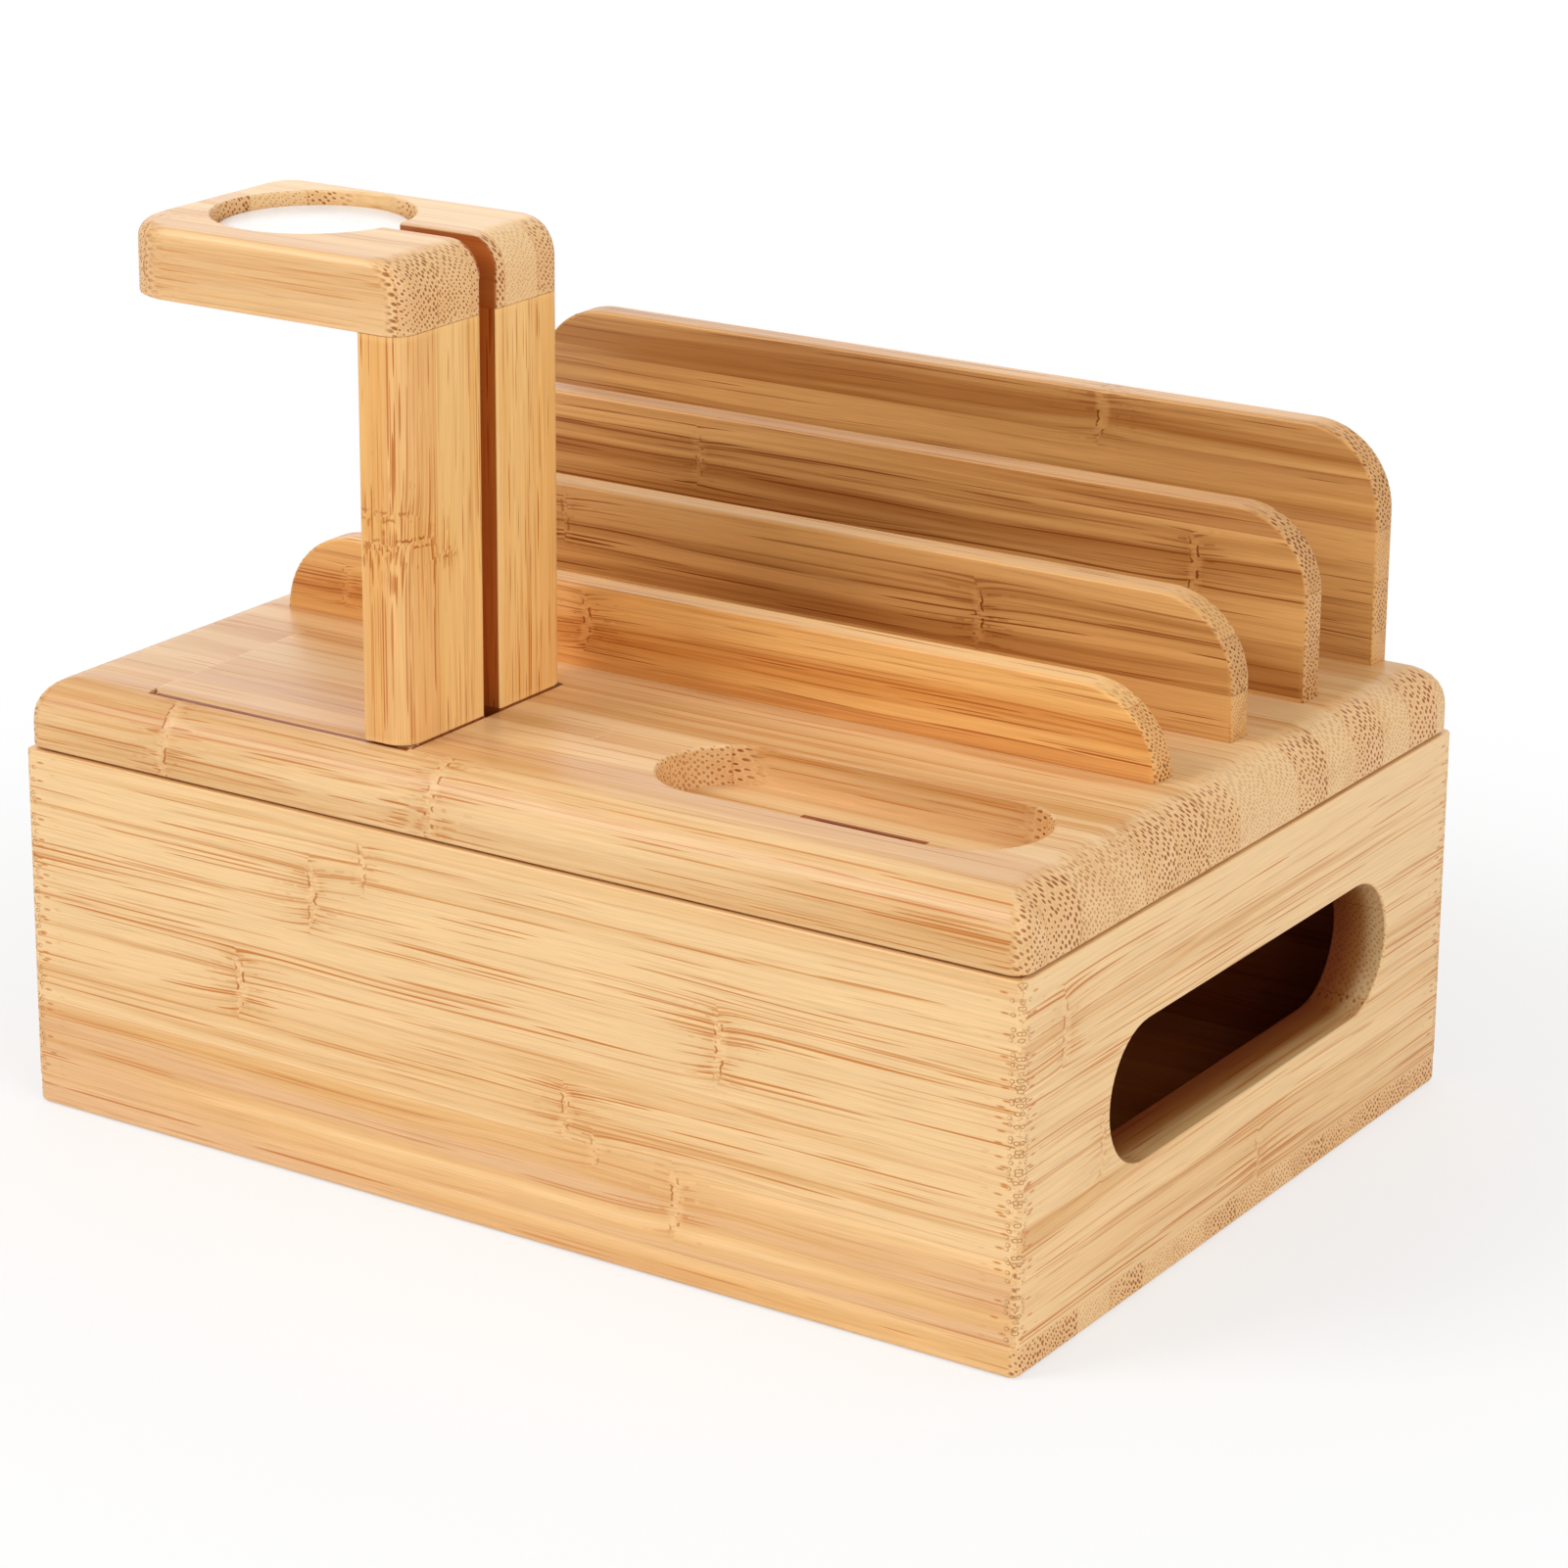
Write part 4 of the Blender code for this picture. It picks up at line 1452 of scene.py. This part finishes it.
@dataclass
class BambooBox(SubAssembly):
    """The glued box: a thin base board and four mitred walls, two of them opened for cables."""

    body: str = "box"
    edge_radius: float = 1.3 * MM
    rim_ease: float = 0.35 * MM
    glue_line: float = 0.03 * MM
    wall_thickness: float = 9.0 * MM
    mitre_gap: float = 0.02 * MM
    base_corner_radius: float = 1.6 * MM
    base_ease: float = 0.8 * MM
    opening_length: float = 85.0 * MM
    opening_height: float = 21.2 * MM
    opening_y: float = 2.1 * MM
    opening_z: float = 30.6 * MM
    opening_flare: float = 0.4 * MM
    opening_overlap: float = 0.4 * MM
    # The base's floor and the walls' inner faces are darkened with painted shade inside the box.
    base_finish: BambooFinish = BambooFinish(
        "base_board_bamboo", Grain.X_STRIPS_IN_Y, seed=3.0, phase=0.2, strip_width=9.3 * MM,
        pore_spacing=0.75 * MM, hollows=(FLOOR_OF_BOX_SHADE,),
    )
    wall_finishes: dict[Side, BambooFinish] = field(default_factory=lambda: {
        Side.FRONT: BambooFinish(
            "front_wall_bamboo", Grain.X_STRIPS_IN_Z, seed=11.0, strip_width=12.5 * MM, phase=0.62,
            mitre_half_length=87.5 * MM, hollows=(INSIDE_OF_BOX_SHADE,),
            knuckles=knuckles(
                (-32.1, 45.1), (-22.8, 51.5, 5.0, 0.6), (-46.2, 28.2, 5.0), (13.1, 22.1, 4.5, 0.8),
                (18.2, 17.0, 3.0, 0.6), (39.3, 37.5, 6.0), (32.0, 12.1, 6.0, 0.9),
            ),
        ),
        Side.RIGHT: BambooFinish(
            "right_wall_bamboo", Grain.Y_STRIPS_IN_Z, seed=23.0, strip_width=13.0 * MM, phase=0.35,
            line_depth=1.4, mitre_half_length=65.0 * MM, hollows=(INSIDE_OF_BOX_SHADE,),
            knuckles=knuckles((-53.4, 47.4, 6.0, 0.8), (-42.1, 26.1, 6.0, 0.5), (4.7, 8.0, 5.0, 0.6)),
        ),
        Side.BACK: BambooFinish(
            "back_wall_bamboo", Grain.X_STRIPS_IN_Z, seed=37.0, strip_width=13.2 * MM, phase=0.1,
            mitre_half_length=87.5 * MM, hollows=(INSIDE_OF_BOX_SHADE,),
            knuckles=knuckles((51.0, 42.0), (-8.0, 31.0, 6.0, 0.8), (-47.0, 14.0), (22.0, 9.0, 5.0, 0.7)),
        ),
        Side.LEFT: BambooFinish(
            "left_wall_bamboo", Grain.Y_STRIPS_IN_Z, seed=41.0, strip_width=12.8 * MM, phase=0.8,
            mitre_half_length=65.0 * MM, hollows=(INSIDE_OF_BOX_SHADE,),
            knuckles=knuckles((31.0, 49.0, 5.0), (-28.0, 12.0, 5.5, 0.8)),
        ),
    })

    def build(self) -> None:
        """Build the base and the walls."""
        self.build_base()
        for side in Side:
            self.build_wall(side)

    def build_base(self) -> None:
        """Build the base board, rounded at its corners and eased along its lower edges."""
        low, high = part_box("base_board")
        bm = block(low, high)
        round_edges(bm, edges_along(bm, 2), self.base_corner_radius, ROUND_STEPS)
        round_edges(bm, list(flat_face(bm, 2, -1.0).edges), self.base_ease, SMALL_STEPS)
        self.finish_board("base_board", bm, self.base_finish, low, high)

    def build_wall(self, side: Side) -> None:
        """Build one wall by cutting it out of the whole block at its mitres.

        Args:
            side: Which wall.
        """
        node, direction = side.value
        outward = Vector((*direction, 0.0))
        tangent = Vector((-outward.y, outward.x, 0.0))
        base_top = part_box("base_board")[1].z
        low = Vector((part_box("left_wall")[0].x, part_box("front_wall")[0].y, base_top + self.glue_line))
        high = Vector((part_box("right_wall")[1].x, *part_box("back_wall")[1].yz))
        bm = block(low, high)
        round_edges(bm, edges_along(bm, 2), self.edge_radius, EDGE_STEPS)
        round_edges(bm, list(flat_face(bm, 2, 1.0).edges), self.rim_ease, FINE_STEPS)
        half = Vector((high.x, high.y, 0.0))
        face_distance = abs(half.dot(outward))
        cut_away(bm, outward * (face_distance - self.wall_thickness), -outward)
        for way in (tangent, -tangent):
            corner = outward * face_distance + way * abs(half.dot(way))
            normal = (way - outward).normalized()
            cut_away(bm, corner - normal * self.mitre_gap / 2.0, normal)
        if side in (Side.LEFT, Side.RIGHT):
            bm = carve(bm, self.opening_cutters(outward.x, face_distance))
        self.finish_board(node, bm, self.wall_finishes[side], Vector((low.x, low.y, -OVERRUN)), high)

    def opening_cutters(self, sign: float, face_distance: float) -> list[bmesh.types.BMesh]:
        """Make the cutters for the oblong opening, one from each face of the wall.

        Args:
            sign: 1 for the right wall and -1 for the left.
            face_distance: The outer face's distance from the middle.

        Returns:
            Two cutters that meet inside the wall.
        """
        middle = face_distance - self.wall_thickness / 2.0
        cutters = []
        for way, top in ((sign, face_distance), (-sign, self.wall_thickness - face_distance)):
            place = (way * self.opening_y, self.opening_z)
            plan = Plan.oblong(place, self.opening_length, self.opening_height)
            floor = (middle if way == sign else -middle) - self.opening_overlap
            cutters.append(flared_cutter(plan, floor, top, self.opening_flare, laid_along_x(way)))
        return cutters


@dataclass
class LiftOffLid(SubAssembly):
    """The thick lid with its pockets, grooves and slits, and the battens that keep it in place."""

    body: str = "lid"
    corner_radius: float = 2.8 * MM
    round_over: float = 6.7 * MM
    under_ease: float = 0.6 * MM
    pocket_room: Rim = Rim(*mm(0.03, 0.05, 0.38, 0.05))
    pocket_radii: tuple[float, ...] = mm(0.8, 3.0, 0.8, 0.8)
    pocket_floor_gap: float = 0.2 * MM
    pocket_flare: float = 0.08 * MM
    hole_length: float = 9.0 * MM
    hole_width: float = 3.8 * MM
    hole_offset: float = 1.0 * MM
    dock_length: float = 61.7 * MM
    dock_width: float = 22.8 * MM
    dock_depth: float = 6.0 * MM
    dock_middle: Point = mm(45.15, -40.6)
    dock_flare: float = 0.5 * MM
    slit_length: float = 20.0 * MM
    slit_width: float = 7.0 * MM
    dock_slit_flare: float = 0.2 * MM
    gap_slit_flare: float = 0.4 * MM
    groove_clearance: float = 0.04 * MM
    groove_corner_radius: float = 0.25 * MM
    batten_ease: float = 0.9 * MM
    # The lid's seams round the foot and the dock's slit are darkened with painted shade.
    finish: BambooFinish = BambooFinish(
        "lid_bamboo", Grain.X_STRIPS_IN_Y, WHEAT, seed=5.0, strip_width=9.1 * MM, phase=0.45,
        pore_spacing=0.90 * MM, hollows=(*ROUND_FOOT_SHADE, DOCK_SLIT_SHADE),
        knuckles=knuckles((-60.3, -64.0), (-10.8, -62.5), (1.0, -38.0, 3.5, 0.4), (-70.0, 22.0, 4.0, 0.5)),
    )
    batten_finish: BambooFinish = BambooFinish(
        "batten_bamboo", Grain.Y_STRIPS_IN_X, seed=9.0, strip_width=10.5 * MM, phase=0.5,
        knuckles=knuckles((18.0, 71.5), (-21.0, -71.5)),
    )

    def build(self) -> None:
        """Build the board and both battens."""
        low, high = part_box("lid_board")
        plan = Plan.around(low, high, self.corner_radius)
        blank = eased_board(plan, low.z, high.z, self.under_ease, Rim.even(self.round_over))
        bm = carve(blank, [self.foot_pocket(high.z), self.cable_hole(low.z), *self.dock(low.z, high.z),
                           *self.grooves(high.z), *self.gap_slits(low.z, high.z)])
        self.finish_board("lid_board", bm, self.finish, low, high)
        for node in ("lid_batten_left", "lid_batten_right"):
            self.build_batten(node)

    def foot_pocket(self, top: float) -> bmesh.types.BMesh:
        """Make the cutter of the pocket that the stand's foot lies in.

        Args:
            top: The height of the lid's top.

        Returns:
            The cutter.
        """
        low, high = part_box("stand_foot")
        plan = Plan.around(low, high, *self.pocket_radii, room=self.pocket_room)
        return flared_cutter(plan, low.z - self.pocket_floor_gap, top, self.pocket_flare)

    def cable_hole(self, bottom: float) -> bmesh.types.BMesh:
        """Make the cutter of the hole under the post.

        Args:
            bottom: The height of the lid's underside.

        Returns:
            The cutter.
        """
        low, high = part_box("stand_foot")
        x = high.x + self.pocket_room.right - self.hole_length / 2.0
        y = (low.y + high.y) / 2.0 + self.hole_offset
        plan = Plan.oblong((x, y), self.hole_length, self.hole_width)
        return straight_cutter(plan, bottom - OVERRUN, low.z + OVERRUN)

    def dock(self, bottom: float, top: float) -> list[bmesh.types.BMesh]:
        """Make the cutters of the dock pocket and the slit through its floor.

        Args:
            bottom: The height of the lid's underside.
            top: The height of the lid's top.

        Returns:
            The pocket's cutter and the slit's.
        """
        floor = top - self.dock_depth
        pocket = Plan.oblong(self.dock_middle, self.dock_length, self.dock_width)
        slit = Plan.oblong(self.dock_middle, self.slit_length, self.slit_width)
        return [flared_cutter(pocket, floor, top, self.dock_flare),
                flared_cutter(slit, bottom - OVERRUN, floor, self.dock_slit_flare)]

    def grooves(self, top: float) -> list[bmesh.types.BMesh]:
        """Make the cutters of the grooves that hold the dividers.

        Args:
            top: The height of the lid's top.

        Returns:
            One cutter for each divider.
        """
        cutters = []
        room = self.groove_clearance
        for number in range(1, 5):
            low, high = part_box(f"divider_{number}")
            plan = Plan.around(low, high, self.groove_corner_radius, room=Rim.even(room))
            cutters.append(straight_cutter(plan, low.z - room, top + OVERRUN))
        return cutters

    def gap_slits(self, bottom: float, top: float) -> list[bmesh.types.BMesh]:
        """Make the cutters of the cable slits between the dividers.

        Args:
            bottom: The height of the lid's underside.
            top: The height of the lid's top.

        Returns:
            One cutter for each gap.
        """
        cutters = []
        for number in range(1, 4):
            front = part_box(f"divider_{number}")[1].y
            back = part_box(f"divider_{number + 1}")[0].y
            plan = Plan.oblong((0.0, (front + back) / 2.0), self.slit_length, self.slit_width)
            cutters.append(flared_cutter(plan, bottom - OVERRUN, top, self.gap_slit_flare))
        return cutters

    def build_batten(self, node: str) -> None:
        """Build one batten, eased along every edge.

        Args:
            node: The batten's name.
        """
        low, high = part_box(node)
        bm = block(low, high)
        round_edges(bm, list(bm.edges), self.batten_ease, FINE_STEPS)
        self.finish_board(node, bm, self.batten_finish, low, high)


@dataclass
class DividerRack(SubAssembly):
    """The four dividers that stand in the lid, rounded at their upper corners."""

    body: str = "lid"
    corner_radius: float = 13.0 * MM
    ease: float = 0.55 * MM
    finishes: tuple[BambooFinish, ...] = tuple(
        BambooFinish(
            f"divider_{number + 1}_bamboo", Grain.X_STRIPS_IN_Z, tint, Slot.WARM, strip_width=8.0 * MM,
            phase=phase, seed=60.0 + number, band_depth=1.4, line_depth=1.1, pore_spacing=0.80 * MM,
            knuckles=knuckles(*marks),
        )
        for number, (tint, phase, marks) in enumerate((
            (GINGER, 0.15, ((-19.9, 76.0, 4.5), (-66.0, 74.0, 4.0, 0.5))),
            (COPPER, 0.55, ((35.5, 80.5, 5.5), (-40.0, 84.0, 5.0, 0.5))),
            (COPPER, 0.35, ((59.2, 87.0, 5.5), (-30.0, 90.0, 5.0, 0.6))),
            (COPPER, 0.8, ((30.1, 101.5, 5.0), (-44.0, 84.0, 5.0, 0.6))),
        ))
    )

    def build(self) -> None:
        """Build all four dividers, from the front one to the back one."""
        for number, finish in enumerate(self.finishes, 1):
            self.build_divider(f"divider_{number}", finish)

    def build_divider(self, node: str, finish: BambooFinish) -> None:
        """Build one divider.

        Args:
            node: The divider's name.
            finish: What it is dressed with.
        """
        low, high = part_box(node)
        bm = block(low, high)
        upper = [edge for edge in edges_along(bm, 1) if edge.verts[0].co.z > high.z - MM]
        round_edges(bm, upper, self.corner_radius, LARGE_STEPS)
        for sign in (1.0, -1.0):
            round_edges(bm, list(flat_face(bm, 1, sign).edges), self.ease, FINE_STEPS)
        self.finish_board(node, bm, finish, low, high)


@dataclass
class WatchStand(SubAssembly):
    """The lift-out watch stand: foot plate, upright post with a cable groove, and the head."""

    body: str = "watch_stand"
    foot_radii: tuple[float, ...] = mm(2.0, 3.5, 3.5, 2.0)
    foot_rise: float = 0.25 * MM
    foot_over: Rim = Rim(*mm(0.25, 0.25, 1.2, 0.25))
    foot_under: float = 0.3 * MM
    foot_groove_flare: float = 0.2 * MM
    post_outer_radius: float = 3.5 * MM
    post_inner_radius: float = 0.8 * MM
    glue_line: float = 0.03 * MM
    groove_width: float = 3.8 * MM
    groove_depth: float = 5.0 * MM
    groove_corner_radius: float = 0.2 * MM
    cable_offset: float = 1.0 * MM
    tip_front_radius: float = 10.5 * MM
    tip_back_radius: float = 4.5 * MM
    head_over: Rim = Rim(*mm(3.0, 5.5, 1.5, 1.5))
    head_under: float = 0.12 * MM
    disc_clearance: float = 0.4 * MM
    recess_depth: float = 8.0 * MM
    flare: float = 0.4 * MM
    # The foot's seams, the post's groove and the head's slot are darkened with painted shade.
    foot_finish: BambooFinish = BambooFinish(
        "foot_bamboo", Grain.X_STRIPS_IN_Y, WHEAT, seed=71.0, phase=0.3, hollows=ROUND_FOOT_SHADE,
    )
    post_finish: BambooFinish = BambooFinish(
        "post_bamboo", Grain.Z_STRIPS_IN_Y, AMBER, Slot.WARM, seed=83.0, strip_width=8.0 * MM, phase=0.47,
        line_length=14.0 * MM, line_depth=1.2, hollows=(POST_GROOVE_SHADE,),
        knuckles=knuckles(
            (99.0, -57.0, 4.5, 1.0, 0.2), (96.0, -50.0, 3.5, 0.7, 0.2), (103.0, -59.0, 3.5, 0.7, 0.1),
        ),
    )
    head_finish: BambooFinish = BambooFinish(
        "head_bamboo", Grain.X_STRIPS_IN_Y, seed=97.0, strip_width=8.0 * MM, phase=0.36, band_depth=0.7,
        line_depth=0.7, pore_spacing=0.74 * MM, pore_depth=0.85, hollows=(HEAD_SLOT_SHADE,),
        knuckles=knuckles((-66.5, -57.0, 7.0, 1.0, 0.15), (-63.0, -47.0, 4.0, 0.4, 0.1)),
    )

    def build(self) -> None:
        """Build foot, post and head."""
        self.build_foot()
        self.build_post()
        self.build_head()

    @property
    def cable_sides(self) -> Point:
        """The front and the back of the cable's way.

        Returns:
            Both places along Y.
        """
        low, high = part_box("stand_head")
        middle = (low.y + high.y) / 2.0 + self.cable_offset
        return middle - self.groove_width / 2.0, middle + self.groove_width / 2.0

    def groove_cutter(self, low_z: float, high_z: float, right: float, flare: float) -> bmesh.types.BMesh:
        """Make the cutter of the groove that the cable lies in.

        Args:
            low_z: Its lower end.
            high_z: Its upper end.
            right: The face that it opens.
            flare: The radius of its rims.

        Returns:
            The cutter.
        """
        front, back = self.cable_sides
        plan = Plan((front, low_z), (back, high_z), (self.groove_corner_radius,) * 4)
        return flared_cutter(plan, right - self.groove_depth, right, flare, laid_along_x(1.0))

    def build_foot(self) -> None:
        """Build the foot plate."""
        low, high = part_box("stand_foot")
        high.z += self.foot_rise
        plan = Plan.around(low, high, *self.foot_radii)
        blank = eased_board(plan, low.z, high.z, self.foot_under, self.foot_over)
        groove = self.groove_cutter(low.z - OVERRUN, high.z + OVERRUN, high.x, self.foot_groove_flare)
        self.finish_board("stand_foot", carve(blank, [groove]), self.foot_finish, low, high)

    def build_post(self) -> None:
        """Build the post, round at its right edges, with the groove down its right face."""
        low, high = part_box("stand_post")
        low.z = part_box("stand_foot")[1].z + self.foot_rise + self.glue_line
        high.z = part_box("stand_head")[0].z - self.glue_line
        blank = block(low, high)
        middle = (low.x + high.x) / 2.0
        inner = [edge for edge in edges_along(blank, 2) if edge.verts[0].co.x < middle]
        round_edges(blank, inner, self.post_inner_radius, SMALL_STEPS)
        outer = [edge for edge in edges_along(blank, 2) if edge.verts[0].co.x > middle]
        round_edges(blank, outer, self.post_outer_radius, ROUND_STEPS)
        groove = self.groove_cutter(low.z - OVERRUN, high.z + OVERRUN, high.x, self.flare)
        self.finish_board("stand_post", carve(blank, [groove]), self.post_finish, low, high)

    def build_head(self) -> None:
        """Build the head with its recess for the disc and its cable slot."""
        low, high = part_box("stand_head")
        plan = Plan.around(low, high, self.tip_front_radius, self.post_outer_radius,
                           self.post_outer_radius, self.tip_back_radius)
        blank = eased_board(plan, low.z, high.z, self.head_under, self.head_over)
        disc_low, disc_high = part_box("charging_disc")
        middle = (disc_low + disc_high) / 2.0
        width = disc_high.x - disc_low.x + 2.0 * self.disc_clearance
        recess = Plan.oblong((middle.x, middle.y), width, width)
        front, back = self.cable_sides
        slot = Plan((middle.x, front), (high.x + OVERRUN, back), (self.groove_corner_radius,) * 4)
        bm = carve(blank, [
            flared_cutter(recess, high.z - self.recess_depth, high.z, self.flare),
            flared_cutter(slot, low.z - OVERRUN, high.z, self.flare),
            self.groove_cutter(low.z - OVERRUN, high.z - self.head_over.right, high.x, self.flare),
        ])
        self.finish_board("stand_head", bm, self.head_finish, low, high)


@dataclass
class ChargingDisc:
    """The white disc in the head's recess, a little crowned, with a soft rim."""

    body: str = "disc"
    rim: float = 1.1 * MM
    crown: float = 0.25 * MM
    crown_shares: tuple[float, ...] = (0.8, 0.6, 0.4, 0.2, 0.0)
    steps: int = 96
    finish: PlasticFinish = PlasticFinish()

    def build(self) -> None:
        """Spin the disc's profile about its axis."""
        low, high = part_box("charging_disc")
        middle = (low + high) / 2.0
        edge = (high.x - low.x) / 2.0 - self.rim
        turns = [QUARTER_TURN * step / EDGE_STEPS for step in range(EDGE_STEPS + 1)]
        profile = [Vector((0.0, 0.0, low.z))]
        for turn in reversed(turns):
            z = low.z + self.rim - self.rim * math.sin(turn)
            profile.append(Vector((edge + self.rim * math.cos(turn), 0.0, z)))
        for turn in turns:
            z = high.z - self.crown - self.rim + self.rim * math.sin(turn)
            profile.append(Vector((edge + self.rim * math.cos(turn), 0.0, z)))
        for share in self.crown_shares:
            profile.append(Vector((edge * share, 0.0, high.z - self.crown * share * share)))
        bm = bmesh.new()
        points = [bm.verts.new(point + Vector((middle.x, middle.y, 0.0))) for point in profile]
        edges = [bm.edges.new(pair) for pair in zip(points, points[1:])]
        bmesh.ops.spin(bm, geom=points + edges, cent=middle, axis=(0.0, 0.0, 1.0), angle=2.0 * math.pi,
                       steps=self.steps, use_merge=True)
        bmesh.ops.remove_doubles(bm, verts=bm.verts, dist=10.0 * NEAR)
        bmesh.ops.recalc_face_normals(bm, faces=bm.faces)
        material = self.finish.dress()
        hand_over("charging_disc_shell", bm, "charging_disc", self.body, material)


@dataclass(frozen=True)
class Lamp:
    """A soft square lamp that looks at the object."""

    name: str
    place: Place
    side: float
    power: float
    target: Place = (0.0, 0.0, 0.06)

    def hang(self) -> None:
        """Add the lamp to the scene."""
        data = bpy.data.lights.new(self.name, "AREA")
        data.shape = "SQUARE"
        data.size = self.side
        data.energy = self.power
        item = bpy.data.objects.new(self.name, data)
        item.location = self.place
        item.rotation_euler = (Vector(self.target) - Vector(self.place)).to_track_quat("-Z", "Y").to_euler()
        bpy.context.scene.collection.objects.link(item)


@dataclass
class Studio:
    """The pale floor, the soft light and the camera."""

    floor_side: float = 12.0
    floor_drop: float = 0.15 * MM
    floor_colour: Colour = (0.93, 0.93, 0.93, 1.0)
    floor_roughness: float = 0.9
    floor_gloss: float = 0.1
    floor_glow: float = 0.60
    shadow_start: float = 0.1
    shadow_reach: float = 0.25
    world_light: float = 0.42
    yaw: float = -0.5991329
    pitch: float = 0.2912115
    eye: Place = mm(379.8103, -575.9531, 285.1868)
    focal_pixels: float = 4864.329
    axis_pixel: Point = (683.558, 620.0)
    sensor: float = 36.0
    view_range: tuple[float, float] = (0.01, 50.0)
    lamps: tuple[Lamp, ...] = (
        Lamp("key_lamp", (-0.85, -1.10, 1.15), 0.8, 13.5),
        Lamp("side_lamp", (1.45, -0.60, 0.75), 1.1, 11.5),
        Lamp("top_lamp", (0.1, 0.30, 1.7), 1.3, 4.8),
        Lamp("back_lamp", (-1.35, 1.65, 0.85), 1.3, 3.0),
    )

    def build(self) -> None:
        """Set up floor, light and camera."""
        self.lay_floor()
        self.set_world()
        for lamp in self.lamps:
            lamp.hang()
        self.set_camera()
        bpy.context.scene.view_settings.view_transform = "Standard"

    def lay_floor(self) -> None:
        """Lay the floor, which looks white to the eye and still holds the object's shadow."""
        bm = bmesh.new()
        bmesh.ops.create_grid(bm, x_segments=1, y_segments=1, size=self.floor_side / 2.0)
        bmesh.ops.translate(bm, verts=bm.verts, vec=(0.0, 0.0, -self.floor_drop))
        floor = as_object("studio_floor", bm)
        material, w, shader = bare_material("studio_floor_paint")
        w.fill(shader, {
            "Base Color": self.floor_colour,
            "Roughness": self.floor_roughness,
            "Specular IOR Level": self.floor_gloss,
        })
        x, y, _ = w.split(w.node("ShaderNodeTexCoord").outputs["Object"])
        away = w.math("SQRT", w.total(w.product(x, x), w.product(y, y)))
        seen = w.node("ShaderNodeLightPath").outputs["Is Camera Ray"]
        clear = w.product(w.rise(away, self.shadow_start, self.shadow_reach), 1.0 - self.floor_glow)
        mix = w.node("ShaderNodeMixShader")
        w.feed(mix.inputs[0], w.product(seen, w.total(self.floor_glow, clear)))
        w.feed(mix.inputs[1], shader.outputs[0])
        w.feed(mix.inputs[2], w.node("ShaderNodeEmission").outputs[0])
        w.fill(material.node_tree.nodes["Material Output"], {"Surface": mix.outputs[0]})
        floor.data.materials.append(material)

    def set_world(self) -> None:
        """Light the scene evenly from all round, in front of a white background."""
        world = bpy.data.worlds.new("studio_world")
        world.use_nodes = True
        w = Wiring(world.node_tree)
        path = w.node("ShaderNodeLightPath")
        seen = w.math("MAXIMUM", path.outputs["Is Camera Ray"], path.outputs["Is Glossy Ray"])
        strength = w.total(self.world_light, w.product(seen, 1.0 - self.world_light))
        w.fill(world.node_tree.nodes["Background"], {"Color": WHITE, "Strength": strength})
        bpy.context.scene.world = world

    def set_camera(self) -> None:
        """Set the camera to the photograph's place, direction and frame."""
        ahead = Vector((
            math.sin(self.yaw) * math.cos(self.pitch),
            math.cos(self.yaw) * math.cos(self.pitch),
            -math.sin(self.pitch),
        ))
        right = Vector((math.cos(self.yaw), -math.sin(self.yaw), 0.0))
        up = right.cross(ahead)
        data = bpy.data.cameras.new("photo_camera")
        data.sensor_width = self.sensor
        data.lens = self.focal_pixels * self.sensor / PHOTO_SIDE
        data.shift_x = (PHOTO_SIDE / 2.0 - self.axis_pixel[0]) / PHOTO_SIDE
        data.shift_y = (self.axis_pixel[1] - PHOTO_SIDE / 2.0) / PHOTO_SIDE
        data.clip_start, data.clip_end = self.view_range
        camera = bpy.data.objects.new("photo_camera", data)
        matrix = Matrix((right, up, -ahead)).transposed().to_4x4()
        matrix.translation = Vector(self.eye)
        camera.matrix_world = matrix
        bpy.context.scene.collection.objects.link(camera)
        bpy.context.scene.camera = camera


def main() -> None:
    """Build the whole scene around the frame."""
    logging.basicConfig(level=logging.INFO, format="%(message)s")
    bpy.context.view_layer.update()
    Studio().build()
    effects = BambooEffects()
    for assembly in (BambooBox, LiftOffLid, DividerRack, WatchStand):
        assembly(effects).build()
    ChargingDisc().build()


if __name__ == "__main__":
    main()
